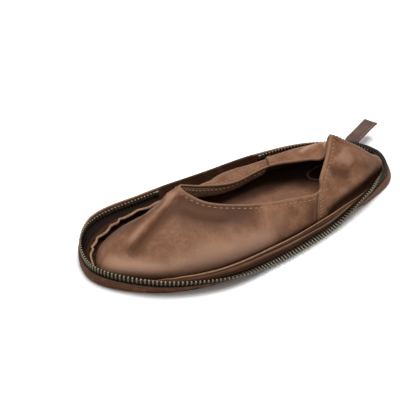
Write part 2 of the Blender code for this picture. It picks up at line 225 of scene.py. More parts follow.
# Rows of stitches beside a side seam: distance from the quarter's edge, and the v where a row ends.
SEAM_STITCH_ROWS = ((2.4, 0.16), (4.6, 0.30), (6.8, 0.62))
SEAM_STITCH_TOP = 0.93
SEAM_STITCH_PITCH = 2.7
SEAM_STITCH = 1.9
SEAM_STITCH_SLANT = 0.35
SEAM_CLEAR = 3.0

TANGENT_STEP = 0.004
NORMAL_STEP = 0.0015
WELD = 0.02

RIM_COLUMNS = ("along", "across", "rise", "lean", "zip_seat", "zip_lean")
RIM = {
    "toe_tip":       (0.016,  0.085,  8.5,  4.0, 1.00,   8.0),
    "toe_inner":     (0.046,  0.335,  8.5,  4.0, 1.00,   6.0),
    "vamp_inner":    (0.148,  0.505, 13.5, 40.0, 0.60,   6.0),
    "ball_inner":    (0.317,  0.515, 14.2, 38.0, 0.58,   0.0),
    "waist_inner":   (0.510,  0.478, 14.0, 27.0, 0.60,   0.0),
    "arch_inner":    (0.697,  0.430, 14.0, 24.0, 0.62,   0.0),
    "heel_inner":    (0.877,  0.325, 12.0,  8.0, 0.75,  -8.0),
    "back_inner":    (0.988,  0.145,  9.0, -10.0, 1.00, -65.0),
    "back":          (1.018, -0.065,  8.5, -22.0, 1.00, -75.0),
    "heel_ridge":    (1.003, -0.196,  8.5, -26.0, 1.00, -75.0),
    "back_outer":    (0.977, -0.295,  8.5, -26.0, 1.00, -60.0),
    "heel_outer":    (0.852, -0.436,  8.0, 16.0, 1.00,  14.0),
    "quarter_outer": (0.750, -0.462,  7.6, 52.0, 1.00,  56.0),
    "seam_outer":    (0.658, -0.482,  8.0, 82.0, 1.00,  98.0),
    "waist_outer":   (0.553, -0.518,  8.5, 84.0, 1.00, 100.0),
    "ball_outer":    (0.451, -0.538,  8.5, 83.0, 1.00, 100.0),
    "vamp_outer":    (0.264, -0.545,  8.5, 54.0, 1.00,  54.0),
    "toe_outer":     (0.110, -0.340,  8.5, 28.0, 1.00,  22.0),
}

LAST_COLUMNS = ("along", "across", "inset", "shoulder", "top_along", "top_across", "top_height")
LAST = {
    "toe_tip":       (0.053,  0.060, 0.13, 0.50, 0.310,  0.070, 1.00),
    "toe_inner":     (0.106,  0.262, 0.16, 0.38, 0.320,  0.100, 0.97),
    "vamp_inner":    (0.197,  0.385, 0.34, 0.26, 0.352,  0.130, 0.86),
    "ball_inner":    (0.335,  0.420, 0.36, 0.30, 0.412,  0.155, 0.69),
    "waist_inner":   (0.510,  0.400, 0.38, 0.44, 0.530,  0.165, 0.48),
    "arch_inner":    (0.694,  0.360, 0.40, 0.44, 0.648,  0.150, 0.53),
    "heel_inner":    (0.845,  0.240, 0.50, 0.60, 0.739, -0.022, 0.62),
    "back_inner":    (0.934,  0.070, 0.40, 0.60, 0.770, -0.105, 0.70),
    "back":          (0.978, -0.095, 0.30, 0.36, 0.797, -0.070, 0.94),
    "heel_ridge":    (0.968, -0.188, 0.30, 0.46, 0.794, -0.101, 1.02),
    "back_outer":    (0.932, -0.268, 0.32, 0.53, 0.782, -0.130, 0.97),
    "heel_outer":    (0.832, -0.370, 0.34, 0.47, 0.743, -0.220, 0.83),
    "quarter_outer": (0.731, -0.415, 0.32, 0.37, 0.690, -0.325, 0.68),
    "seam_outer":    (0.641, -0.440, 0.30, 0.29, 0.665, -0.376, 0.52),
    "waist_outer":   (0.546, -0.462, 0.20, 0.34, 0.563, -0.356, 0.61),
    "ball_outer":    (0.458, -0.475, 0.15, 0.42, 0.468, -0.317, 0.71),
    "vamp_outer":    (0.264, -0.430, 0.15, 0.50, 0.356, -0.150, 0.82),
    "toe_outer":     (0.116, -0.215, 0.13, 0.50, 0.317, -0.020, 0.93),
}

# lip is how far a fold line runs from the facing's free edge, and lip_rise how high it stands.
# bare is how much of the tape below the zip's top the facing leaves bare.
FACING_COLUMNS = ("reach", "edge", "sag", "wave", "lip", "lip_rise", "bare")
FACING = {
    "toe_tip":       (0.30,  7.5, 1.5, 0.3, 4.0, 0.0, 3.4),
    "toe_inner":     (0.44,  9.5, 2.0, 0.6, 4.0, 0.0, 3.2),
    "vamp_inner":    (0.64,  9.5, 2.2, 1.2, 4.0, 0.0, 2.8),
    "ball_inner":    (0.57, 10.0, 2.2, 1.0, 4.0, 0.0, 2.8),
    "waist_inner":   (0.50, 10.0, 2.0, 0.0, 4.0, 0.0, 4.6),
    "arch_inner":    (0.50, 10.0, 2.0, 0.0, 4.0, 0.0, 4.6),
    "heel_inner":    (0.50,  9.0, 2.0, 0.0, 4.0, 0.0, 4.6),
    "back_inner":    (0.45,  6.5, 1.0, 0.0, 4.0, 0.0, 4.6),
    "back":          (0.45,  6.0, 0.8, 0.0, 4.0, 0.0, 4.6),
    "heel_ridge":    (0.45,  6.0, 0.8, 0.0, 4.5, 0.0, 4.4),
    "back_outer":    (0.45,  6.0, 0.8, 0.0, 5.0, 0.0, 4.0),
    "heel_outer":    (0.55,  7.0, 0.8, 0.0, 6.5, 0.5, 1.6),
    "quarter_outer": (0.62,  7.5, 0.5, 0.0, 6.0, 0.9, 0.4),
    "seam_outer":    (0.62,  7.5, 0.5, 0.0, 5.5, 0.9, 0.4),
    "waist_outer":   (0.62,  7.5, 0.5, 0.0, 4.5, 0.9, 0.4),
    "ball_outer":    (0.62,  8.0, 0.5, 0.0, 3.4, 0.8, 0.4),
    "vamp_outer":    (0.62,  8.4, 0.8, 0.0, 3.0, 0.3, 0.6),
    "toe_outer":     (0.62,  7.0, 1.0, 0.2, 3.0, 0.0, 1.4),
}

STRAP_COLUMNS = ("out", "height", "turn")
STRAP = (
    (1.4,   4.0, 0.0),
    (0.8,   8.0, 0.0),
    (1.4,  10.2, 0.3),
    (3.6,  11.6, 0.8),
    (8.5,  12.2, 1.0),
    (20.0, 12.9, 1.0),
    (34.5, 13.7, 1.0),
)

# Places (t, v) on the upper of the trough beside the vamp's ridge, the folded quarter's edge and the throat.
TROUGH_LINE = ((0.954, 0.94), (0.947, 0.84), (0.947, 0.74), (0.947, 0.61), (0.948, 0.42))
FOLD_LINE = ((0.385, 0.84), (0.407, 0.70), (0.420, 0.65), (0.432, 0.64), (0.441, 0.72), (0.450, 0.86))
THROAT_LINE = ((0.963, 0.93), (0.896, 0.93), (0.857, 0.91), (0.814, 0.88), (0.765, 0.84))

# Creases of the upper: height (a trough is below nought), width, and the places (t, v) along it.
CREASES = {
    "vamp_ridge":    (2.4, 4.5, ((0.990, 0.97), (0.971, 0.91), (0.962, 0.81), (0.961, 0.71), (0.963, 0.52))),
    "vamp_trough":   (-2.4, 5.5, TROUGH_LINE),
    "toe_dip":       (-3.2, 13.0, ((0.060, 0.60), (0.040, 0.75), (0.020, 0.86), (0.000, 0.94))),
    "throat_hollow": (-2.2, 6.0, ((0.957, 0.95), (0.896, 0.93), (0.857, 0.91), (0.814, 0.88))),
    "vamp_belly":    (1.6, 14.0, ((0.883, 0.60), (0.834, 0.56), (0.785, 0.52), (0.736, 0.46))),
    "base_sheen":    (1.2, 5.0, ((0.992, 0.33), (0.962, 0.31), (0.926, 0.26), (0.899, 0.22), (0.873, 0.20))),
    "ball_fold":     (-0.8, 6.0, ((0.863, 0.78), (0.839, 0.62), (0.819, 0.40))),
    "waist_fold":    (-0.7, 6.0, ((0.795, 0.72), (0.776, 0.55), (0.761, 0.30))),
    "seam_strain":   (-0.8, 5.0, ((0.707, 0.75), (0.728, 0.50), (0.741, 0.22))),
    "quarter_dent":  (-1.8, 6.5, ((0.620, 0.86), (0.607, 0.68), (0.595, 0.50))),
    "quarter_pale":  (1.4, 8.0, ((0.564, 0.86), (0.577, 0.74), (0.579, 0.60))),
    "quarter_curl":  (1.5, 6.0, ((0.534, 0.27), (0.564, 0.29), (0.614, 0.36), (0.653, 0.43), (0.672, 0.45))),
    "quarter_tuck":  (-3.0, 6.0, ((0.530, 0.08), (0.565, 0.10), (0.590, 0.12), (0.625, 0.14), (0.665, 0.16))),
    "heel_seam":     (0.9, 1.8, ((0.520, 0.99), (0.525, 0.85), (0.523, 0.69), (0.519, 0.41), (0.513, 0.22))),
    "heel_corner":   (2.5, 8.0, ((0.498, 0.26), (0.513, 0.23), (0.528, 0.22))),
    "fold_ridge":    (1.2, 2.5, FOLD_LINE),
    "fold_dip":      (-0.9, 5.0, ((0.395, 0.92), (0.414, 0.86), (0.429, 0.88))),
    "fold_gap":      (-2.2, 4.0, ((0.452, 0.62), (0.460, 0.72), (0.466, 0.84), (0.470, 0.96))),
    "inner_fold":    (-1.2, 6.0, ((0.215, 0.80), (0.230, 0.55), (0.239, 0.28))),
    "inner_swell":   (1.2, 9.0, ((0.166, 0.45), (0.205, 0.45), (0.293, 0.42))),
}
# Patina and painted light of the upper: change of tone (darker below nought), width, and the places (t, v)
# along it.
PATINA_AND_PAINTED_LIGHT = {
    # Painted highlight on the vamp's ridge, which is also rubbed, on its lower front and belly, on the
    # quarter's pale spot and along the fold's edge.
    # Painted shade under the throat's edge, on the inner toe's slope, in the trough, in the dent, under the
    # quarter and on the fold's shaded side.
    "inner_panel":   (-0.3, 9.0, ((0.130, 0.90), (0.200, 0.88), (0.290, 0.88))),
    "throat_dark":   (-1.4, 15.0, THROAT_LINE),
    "inner_toe":     (-0.9, 13.0, ((0.045, 0.45), (0.025, 0.60), (0.006, 0.74), (0.000, 0.92))),
    "trough_dark":   (-1.0, 4.5, TROUGH_LINE),
    "ridge_wear_and_highlight":    (1.1, 3.5, ((0.990, 0.99), (0.971, 0.91), (0.962, 0.81), (0.961, 0.71), (0.963, 0.55))),
    "base_painted_sheen":     (1.2, 6.5, ((0.990, 0.31), (0.962, 0.32), (0.926, 0.29), (0.899, 0.25), (0.863, 0.25))),
    "low_painted_light":      (1.1, 9.0, ((0.893, 0.27), (0.854, 0.29), (0.805, 0.30), (0.755, 0.32))),
    "belly_painted_light":    (0.2, 15.0, ((0.883, 0.62), (0.808, 0.55), (0.729, 0.44))),
    "quarter_painted_highlight":  (0.5, 8.0, ((0.564, 0.86), (0.577, 0.74), (0.583, 0.62))),
    "dent_dark":     (-0.8, 6.0, ((0.622, 0.88), (0.614, 0.81), (0.605, 0.67), (0.595, 0.50))),
    "seam_dark":     (-0.7, 6.0, ((0.688, 0.92), (0.690, 0.60), (0.692, 0.25))),
    "quarter_under": (-1.5, 6.5, ((0.512, 0.08), (0.540, 0.06), (0.575, 0.05), (0.620, 0.08), (0.672, 0.15))),
    "heel_corner":   (-0.6, 8.0, ((0.525, 0.30), (0.550, 0.34), (0.585, 0.36))),
    "fold_edge":     (1.4, 1.6, FOLD_LINE),
    "fold_side":     (-1.6, 4.5, ((0.452, 0.58), (0.461, 0.72), (0.468, 0.86), (0.473, 0.98))),
}
# Painted shade in the deep gap between the heel quarter and the zip: strength, width and places (t, v).
GAP_SHADE_STROKES = {
    "heel_gap":      (1.0, 5.0, ((0.505, 0.07), (0.535, 0.05), (0.565, 0.03), (0.595, 0.02), (0.630, 0.02))),
}
STROKE_STEPS = 28


def hermite(knots, values, tangents, at):
    """A smooth curve through values at knots, read at the places given."""
    row = np.clip(np.searchsorted(knots, at, side="right") - 1, 0, len(knots) - 2)
    span = (knots[row + 1] - knots[row])[:, None]
    s = (at - knots[row])[:, None] / span
    a, b = values[row], values[row + 1]
    da, db = tangents[row] * span, tangents[row + 1] * span
    return (a * (1 + 2 * s) * (1 - s) ** 2 + da * s * (1 - s) ** 2
            + b * s ** 2 * (3 - 2 * s) + db * s ** 2 * (s - 1))


class Stations:
    """Smooth closed curves through the rows of a table, one for each column."""

    def __init__(self, table, columns, knots):
        values = np.array(list(table.values()))
        self.knots = np.append(knots, 1.0)
        self.values = np.vstack([values, values[:1]])
        steps = np.diff(self.knots)
        slopes = np.diff(self.values, axis=0) / steps[:, None]
        before = np.roll(steps, 1)
        blend = np.roll(slopes, 1, axis=0) * steps[:, None] + slopes * before[:, None]
        tangents = blend / (before + steps)[:, None]
        self.tangents = np.vstack([tangents, tangents[:1]])
        self.columns = columns

    def __call__(self, t):
        """The table's columns at t as named values."""
        mixed = hermite(self.knots, self.values, self.tangents, np.asarray(t) % 1.0)
        return dict(zip(self.columns, mixed.T))


def smooth_line(places, count):
    """Evenly spaced places on a smooth open curve through the ones given."""
    places = np.asarray(places, float)
    knots = np.append(0.0, np.cumsum(np.linalg.norm(np.diff(places, axis=0), axis=1)))
    slopes = np.diff(places, axis=0) / np.diff(knots)[:, None]
    tangents = np.vstack([slopes[:1], 0.5 * (slopes[:-1] + slopes[1:]), slopes[-1:]])
    return hermite(knots, places, tangents, np.linspace(0, knots[-1], count))


def rim_knots():
    """Each station's share of the way round the sole's edge, and the edge's length."""
    edge = np.array([(row[0] * SOLE_LENGTH, row[1] * BALL_WIDTH) for row in RIM.values()])
    lengths = np.linalg.norm(np.roll(edge, -1, axis=0) - edge, axis=1)
    return np.append(0.0, np.cumsum(lengths)[:-1]) / lengths.sum(), lengths.sum()


KNOTS, RIM_LENGTH = rim_knots()
STATION = dict(zip(RIM, KNOTS))
rim_at = Stations(RIM, RIM_COLUMNS, KNOTS)
last_at = Stations(LAST, LAST_COLUMNS, KNOTS)
facing_at = Stations(FACING, FACING_COLUMNS, KNOTS)
ZIP_START = STATION["arch_inner"]
ZIP_END = 1.0 + STATION["ball_inner"] + ZIP_PAST_BALL / RIM_LENGTH
STRAP_STATION = STATION["back_inner"] - STRAP_SHIFT / RIM_LENGTH
QUARTER_START = STATION["arch_inner"]
QUARTER_END = STATION["seam_outer"]


def unit(vectors):
    return vectors / np.linalg.norm(vectors, axis=-1, keepdims=True)


def ease(share):
    """A soft step from nought to one."""
    share = np.clip(share, 0.0, 1.0)
    return share * share * (3 - 2 * share)


def between(at, start, end, rise, fall):
    """One between two places, with a soft rise after the first and a soft fall before the second."""
    return ease((at - start) / rise) * ease((end - at) / fall)


def hump(distance, width):
    return np.exp(-(distance / width) ** 2)


def on_floor(along, across):
    return np.column_stack([(along - 0.5) * SOLE_LENGTH, across * BALL_WIDTH])


def edge_frame(t):
    """The sole's edge at t and the outward direction there, seen from above."""
    def place(at):
        row = rim_at(at)
        return on_floor(row["along"], row["across"])
    tangent = unit(place(t + TANGENT_STEP) - place(t - TANGENT_STEP))
    return place(t), np.column_stack([-tangent[:, 1], tangent[:, 0]])


def in_section(t, out, height):
    """Points at a distance out from the sole's edge and at a height, one for each t."""
    edge, outward = edge_frame(t)
    flat = edge + np.broadcast_to(out, len(t))[:, None] * outward
    return np.column_stack([flat, np.broadcast_to(height, len(t))])


def wall_line(t, up):
    """The wall's inner face at a distance up it: out from the sole's edge, height and lean."""
    lean = np.radians(rim_at(t)["lean"])
    out = -WALL_THICK * np.cos(lean) + up * np.sin(lean)
    height = EDGE_RADIUS + WALL_THICK * np.sin(lean) + up * np.cos(lean)
    return out, height, lean


def zip_top(t):
    row = rim_at(t)
    return row["zip_seat"] * row["rise"]


def zip_on_top(t):
    """One where the zip stands on top of the wall, nought where it lies against the wall's inside."""
    return ease((rim_at(t)["zip_seat"] - 0.75) / 0.2)


class Pieces:
    """Points, faces and named values of one piece, gathered bit by bit."""

    def __init__(self):
        self.points = []
        self.faces = []
        self.values = {}
        self.count = 0

    def add(self, points, faces, **values):
        points = np.asarray(points, float).reshape(-1, 3)
        self.points.append(points)
        self.faces += [tuple(int(i) + self.count for i in face) for face in faces]
        for key, value in values.items():
            spread = np.broadcast_to(np.asarray(value, float).reshape(-1), len(points))
            self.values.setdefault(key, []).append(spread)
        self.count += len(points)


def grid_faces(rows, columns, rows_closed=False, columns_closed=False):
    """Four-sided faces over a grid of points."""
    i = np.arange(rows if rows_closed else rows - 1)[:, None]
    j = np.arange(columns if columns_closed else columns - 1)[None, :]
    k, m = (i + 1) % rows, (j + 1) % columns
    corners = [i * columns + j, i * columns + m, k * columns + m, k * columns + j]
    return np.stack([np.broadcast_to(c, (i.size, j.size)) for c in corners], axis=-1).reshape(-1, 4)


def tube_faces(rows, columns):
    """A closed skin over a run of rings, with its two ends capped."""
    caps = [tuple(range(columns)), tuple(range((rows - 1) * columns, rows * columns))]
    return list(grid_faces(rows, columns, columns_closed=True)) + caps


def finish_piece(name, gathered, finish, node=None, sharp=None, weld=False):
    """A Blender object from the gathered points, riding on the slipper's one body."""
    data = bpy.data.meshes.new(name)
    data.from_pydata((np.concatenate(gathered.points) * MM).tolist(), [], gathered.faces)
    for key, value in gathered.values.items():
        spread = np.concatenate(value).astype(np.float32)
        data.attributes.new(key, "FLOAT", "POINT").data.foreach_set("value", spread)
    mesh = bmesh.new()
    mesh.from_mesh(data)
    if weld:
        bmesh.ops.remove_doubles(mesh, verts=mesh.verts, dist=WELD * MM)
    bmesh.ops.recalc_face_normals(mesh, faces=mesh.faces)
    mesh.to_mesh(data)
    mesh.free()
    data.shade_smooth()
    if sharp:
        data.set_sharp_from_angle(angle=math.radians(sharp))
    data.materials.append(finish)
    made = bpy.data.objects.new(name, data)
    bpy.context.scene.collection.objects.link(made)
    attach(made, "root")
    if node:
        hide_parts(node)


def finish_tube(name, lines, finish, slot, node=None, sharp=None, **values):
    """A piece with a closed skin over lines that run side by side along it."""
    rings = np.stack(lines, axis=1)
    gathered = Pieces()
    gathered.add(rings, tube_faces(*rings.shape[:2]), **values)
    finish_piece(name, gathered, finish, node, sharp)


# Upper

def skin(t, v):
    """Points of the plain upper's outer face at pairs of t and v."""
    row = last_at(t)
    foot = on_floor(row["along"], row["across"])
    top = on_floor(row["top_along"], row["top_across"])
    shoulder = foot + row["inset"][:, None] * (top - foot)
    foot = np.column_stack([foot, np.full(len(foot), SOLE_THICK + GAP)])
    shoulder = np.column_stack([shoulder, row["shoulder"] * INSTEP_HEIGHT])
    top = np.column_stack([top, row["top_height"] * INSTEP_HEIGHT])
    pull = 2 * shoulder - 0.5 * (foot + top)
    v = np.asarray(v)[:, None]
    return (1 - v) ** 2 * foot + 2 * v * (1 - v) * pull + v ** 2 * top


def skin_normal(t, v):
    round_way = skin(t + NORMAL_STEP, v) - skin(t - NORMAL_STEP, v)
    up_way = skin(t, v + NORMAL_STEP) - skin(t, v - NORMAL_STEP)
    return unit(np.cross(up_way, round_way))


def below_top(t, distance):
    """The v that lies a distance down from the upper's top edge."""
    top = np.ones_like(t)
    speed = np.linalg.norm(skin(t, top) - skin(t, top - NORMAL_STEP), axis=1) / NORMAL_STEP
    return 1.0 - distance / speed


def seam_distance(t):
    """Distances inside the heel quarters from their front edges, less than nought on the vamp."""
    t = np.asarray(t) % 1.0
    return np.minimum(t - QUARTER_START, QUARTER_END - t) * RIM_LENGTH


def unrolled(places):
    """The same places with t running on past one or nought, without a jump at the toe."""
    places = np.array(places)
    places[:, 0] = np.unwrap(places[:, 0], period=1.0)
    return places


def strokes(points, table):
    """The soft strokes of a table added up at points of the plain upper, each fading at its ends."""
    total = np.zeros(len(points))
    for strength, width, places in table.values():
        line = smooth_line(unrolled(places), STROKE_STEPS)
        line = skin(line[:, 0], line[:, 1])
        gaps = np.linalg.norm(points[:, None] - line[None], axis=2)
        along = np.linspace(-1, 1, STROKE_STEPS)[gaps.argmin(axis=1)]
        total += strength * (1 - along ** 4) * hump(gaps.min(axis=1), width)
    return total


def sheet_relief(t, v):
    """How far the upper's leather stands off its plain form, outer and inner face alike."""
    folds = strokes(skin(t, v), CREASES)
    roll = BASE_ROLL * (v / BASE_ROLL_AT) * np.exp(1 - v / BASE_ROLL_AT)
    return (folds + roll) * ease(v / BASE_FADE)


def on_sole(points, v):
    """The same points with the lowest ones just on the sole and none below them."""
    floor = SOLE_THICK + GAP
    points[:, 2] = np.where(v == 0, floor, np.maximum(points[:, 2], floor))
    return points


def outer_face(t, v):
    """Points and normals of the finished outer face at pairs of t and v."""
    normal = skin_normal(t, v)
    inside = seam_distance(t)
    lap = QUARTER_LAP * ease(inside / LAP_SLOPE + 0.5)
    groove = SEAM_GROOVE * hump(inside + SEAM_GROOVE_AT, SEAM_GROOVE_WIDTH)
    stitched = STITCH_GROOVE * hump(below_top(t, TOP_STITCH_BELOW) - v, STITCH_GROOVE_SPAN)
    lift = sheet_relief(t, v) + lap - groove - stitched
    return on_sole(skin(t, v) + lift[:, None] * normal, v), normal


def inner_face(t, v, stand=0.0):
    """Points of the inner face, or of a layer that stands off it into the shoe."""
    normal = skin_normal(t, v)
    points = skin(t, v) + (sheet_relief(t, v) - UPPER_WALL - stand)[:, None] * normal
    return on_sole(points, v), normal


def upper_rows():
    """Rows round the upper, close together at the side seams."""
    near = np.arange(-SEAM_REACH, SEAM_REACH, SEAM_STEP) / RIM_LENGTH
    spaced = np.linspace(0, 1, UPPER_ROWS, endpoint=False)
    clear = spaced[np.abs(seam_distance(spaced)) > SEAM_REACH]
    return np.sort(np.concatenate([clear, QUARTER_START + near, QUARTER_END + near]))


def on_grid(t, v):
    rows, columns = np.meshgrid(t, v, indexing="ij")
    return rows.ravel(), columns.ravel()


def make_upper(leather):
    t = upper_rows()
    v_out = np.linspace(0, 1, UPPER_COLUMNS)
    v_in = np.linspace(1, 0, INNER_COLUMNS)
    flat_t, flat_v = on_grid(t, v_out)
    outer, _ = outer_face(flat_t, flat_v)
    folds, painted_light_and_wear, gap_strokes = [strokes(skin(flat_t, flat_v), table) for table in (CREASES, PATINA_AND_PAINTED_LIGHT, GAP_SHADE_STROKES)]
    inner, _ = inner_face(*on_grid(t, v_in))
    outer = outer.reshape(len(t), -1, 3)
    inner = inner.reshape(len(t), -1, 3)
    centre = 0.5 * (outer[:, -1] + inner[:, 0])
    half = outer[:, -1] - centre
    up = unit(outer[:, -1] - outer[:, -2]) * np.linalg.norm(half, axis=1)[:, None]
    angles = np.radians(TOP_EDGE_ANGLES)
    rim = np.stack([centre + math.cos(a) * half + math.sin(a) * up for a in angles], axis=1)
    rings = np.concatenate([outer, rim, inner], axis=1)
    columns = rings.shape[1]
    inside = seam_distance(flat_t)

    def outside(values):
        """Values on the outer face alone, with nought on the top edge and the inner face."""
        made = np.zeros((len(t), columns))
        made[:, :UPPER_COLUMNS] = values.reshape(len(t), -1)
        return made
    edge = outside(SEAM_PALE * hump(inside, SEAM_PALE_WIDTH))
    edge[:, UPPER_COLUMNS - 1:UPPER_COLUMNS + len(angles)] = 1.0
    within = np.zeros((len(t), columns))
    within[:, UPPER_COLUMNS + len(angles):] = 1.0
    # Painted shade in the heel gap and in the dark line in front of each quarter's lapped edge.
    crack = outside(np.maximum(gap_strokes, hump(inside + SEAM_DARK_WIDTH, SEAM_DARK_WIDTH)))
    gathered = Pieces()
    gathered.add(rings, grid_faces(len(t), columns, True, True), edge=edge, inside=within, crack=crack,
                 fold=outside(folds), base=outside(np.exp(-flat_v / BASE_DARK_REACH)), tone=outside(painted_light_and_wear))
    finish_piece("upper_leather", gathered, leather, "upper")


def collar_band(t, down, stand):
    """Points and normals of a layer inside the vamp's top edge, which hangs free on the inner side."""
    flat, normal = inner_face(t, below_top(t, down), stand)
    top, _ = inner_face(t, below_top(t, np.full_like(t, COLLAR_BELOW)))
    _, outward = edge_frame(t)
    level = np.column_stack([outward, np.zeros(len(t))])
    hung = top - stand * level
    hung[:, 2] -= down - COLLAR_BELOW
    from_toe = (t + 0.5) % 1.0 - 0.5
    free = between(from_toe, COLLAR_FREE_FROM, QUARTER_START + COLLAR_PAST_SEAM, 0.06, 0.03)[:, None]
    return flat + free * (hung - flat), unit(normal + free * (level - normal))


def make_collar_facing(suede):
    """Suede band sewn inside the vamp's top edge."""
    t = np.linspace(QUARTER_END - 1.0 + 0.004, QUARTER_START + COLLAR_PAST_SEAM, COLLAR_ROWS)
    run = t * RIM_LENGTH
    width = COLLAR_WIDTH + COLLAR_WIDER * hump(run - COLLAR_WIDEST_AT * RIM_LENGTH, COLLAR_WIDE_REACH)
    ragged = sum(height * np.sin(run * rate + phase) for height, rate, phase in COLLAR_RAGGED)
    lines = []
    for share, stand in COLLAR_RINGS:
        lines.append(collar_band(t, COLLAR_BELOW + share * (width + ragged), stand)[0])
    finish_tube("collar_facing", lines, suede, "upper")


# Stitches

# One stitch from end to end: share of its half length, girth and lift off the leather.
STITCH_RINGS = ((-1.0, 0.25, -0.45), (-0.72, 0.8, 0.05), (0.0, 1.0, 0.22),
                (0.72, 0.8, 0.05), (1.0, 0.25, -0.45))
STITCH_SIDES = 7
STITCH_TANGENT = 0.4


def add_stitches(gathered, points, normals, pitch, length, radius=THREAD_RADIUS, slant=0.0):
    """Short stitches along a line, each with its two ends sunk in the leather."""
    steps = np.linalg.norm(np.diff(points, axis=0), axis=1)
    run = np.append(0.0, np.cumsum(steps))
    places = np.arange(0.5 * pitch, run[-1] - 0.3 * pitch, pitch)
    angles = np.linspace(0, 2 * math.pi, STITCH_SIDES, endpoint=False)
    faces = tube_faces(len(STITCH_RINGS), STITCH_SIDES)

    def read(values, at):
        return np.column_stack([np.interp(at, run, values[:, k]) for k in range(3)])
    centre = read(points, places)
    normal = unit(read(normals, places))
    way = unit(read(points, places + STITCH_TANGENT) - read(points, places - STITCH_TANGENT))
    side = unit(np.cross(normal, way))
    way = unit(np.cross(side, normal) + slant * side)
    side = unit(np.cross(normal, way))
    for c, n, w, s in zip(centre, normal, way, side):
        rings = []
        for along, girth, lift in STITCH_RINGS:
            ring = c + 0.5 * length * along * w + (lift * 2 * radius) * n
            rings.append(ring + girth * radius * (np.cos(angles)[:, None] * s + np.sin(angles)[:, None] * n))
        gathered.add(np.concatenate(rings), faces)


def make_upper_stitches(thread):
    gathered = Pieces()
    clear = SEAM_CLEAR / RIM_LENGTH
    vamp = np.linspace(QUARTER_END + clear, 1.0 + QUARTER_START - clear, 900)
    line = outer_face(vamp, below_top(vamp, TOP_STITCH_BELOW))
    add_stitches(gathered, *line, TOP_STITCH_PITCH, TOP_STITCH)
    points, normals = collar_band(vamp, TOP_STITCH_BELOW, COLLAR_STAND)
    add_stitches(gathered, points, -normals, TOP_STITCH_PITCH, TOP_STITCH)
    quarter = np.linspace(STATION["back"] + QUARTER_STITCH_FROM, QUARTER_END - clear, 500)
    line = outer_face(quarter, below_top(quarter, TOP_STITCH_BELOW))
    add_stitches(gathered, *line, QUARTER_STITCH_PITCH, QUARTER_STITCH)
    points, normals = inner_face(quarter, below_top(quarter, TOP_STITCH_BELOW))
    add_stitches(gathered, points, -normals, QUARTER_STITCH_PITCH, QUARTER_STITCH)
    for inset, low in SEAM_STITCH_ROWS:
        v = np.linspace(SEAM_STITCH_TOP, low, 120)
        for seam, side in ((QUARTER_END, -1), (QUARTER_START, 1)):
            t = np.full_like(v, seam + side * inset / RIM_LENGTH)
            add_stitches(gathered, *outer_face(t, v), SEAM_STITCH_PITCH, SEAM_STITCH, slant=SEAM_STITCH_SLANT)
    finish_piece("upper_stitches", gathered, thread)


def make_heel_stitches(thread):
    gathered = Pieces()
    heel = smooth_line(CREASES["heel_seam"][2], 300)
    for side in (-1, 1):
        line = outer_face(heel[:, 0] + side * HEEL_STITCH_OFF / RIM_LENGTH, heel[:, 1])
        add_stitches(gathered, *line, QUARTER_STITCH_PITCH, HEEL_STITCH, radius=FINE_THREAD_RADIUS)
    finish_piece("heel_stitches", gathered, thread)


# Sole

def make_sole(leather):
    t = np.linspace(0, 1, SOLE_ROWS, endpoint=False)
    lean = np.radians(rim_at(t)["lean"])
    rise = rim_at(t)["rise"] - WALL_DROP * zip_on_top(t)
    plain = between(t, ZIP_END - 1.0, ZIP_START, 0.01, 0.01)
    cut = (1.0 - CUT_HIDDEN_BY_ZIP * zip_on_top(t)) * (1.0 - CUT_HIDDEN_PLAIN * plain)
    heel = between(t, STATION["back"] - 0.03, STATION["quarter_outer"], 0.03, 0.05)
    profile, edges, tones = [], [], []

    def put(out, height, edge=0.0, tone=0.0):
        profile.append(in_section(t, out, height))
        edges.append(np.broadcast_to(edge, len(t)))
        tones.append(np.broadcast_to(tone, len(t)))
    for angle in np.radians(BASE_ANGLES):
        put(-EDGE_RADIUS + EDGE_RADIUS * math.sin(angle), EDGE_RADIUS - EDGE_RADIUS * math.cos(angle))
    for share in np.linspace(0, 0.94, 9):
        up = share * rise
        puff = WALL_PUFF * math.sin(math.pi * share)
        put(up * np.sin(lean) + puff * np.cos(lean), EDGE_RADIUS + up * np.cos(lean) - puff * np.sin(lean),
            tone=HEEL_WALL_TONE * heel)
    inner_out, inner_height, _ = wall_line(t, rise)
    outer_out, outer_height = rise * np.sin(lean), EDGE_RADIUS + rise * np.cos(lean)
    for angle in np.radians(WALL_TOP_ANGLES):
        across, up = 0.5 * (1 + math.cos(angle)), 0.5 * WALL_THICK * (math.sin(angle) - 0.6)
        put(inner_out + across * (outer_out - inner_out) + up * np.sin(lean),
            inner_height + across * (outer_height - inner_height) + up * np.cos(lean),
            edge=cut, tone=WALL_EDGE_TONE + WALL_EDGE_PLAIN * plain)
    # Painted shade on the wall's inner face.
    for share in np.linspace(0.92, 0.12, 9):
        out, height, _ = wall_line(t, share * rise)
        put(out, height, tone=WALL_INSIDE_PAINTED_SHADE + WALL_INSIDE_PLAIN * plain)
    foot_out, foot_height, _ = wall_line(t, 0.0)
    foot_out = foot_out + (SOLE_THICK - foot_height) * np.tan(lean)
    # Painted shade on the tray, deepest of all.
    for inward, above in TRAY_CORNER:
        put(foot_out - inward, SOLE_THICK + above, tone=TRAY_PAINTED_SHADE)
    rings = np.stack(profile, axis=1)
    columns = rings.shape[1]
    faces = list(grid_faces(len(t), columns, rows_closed=True))
    faces.append([i * columns for i in range(len(t))])
    faces.append([i * columns + columns - 1 for i in range(len(t))])
    gathered = Pieces()
    gathered.add(rings, faces, edge=np.stack(edges, axis=1), tone=np.stack(tones, axis=1))
    finish_piece("sole_leather", gathered, leather, "outsole")


# Zip

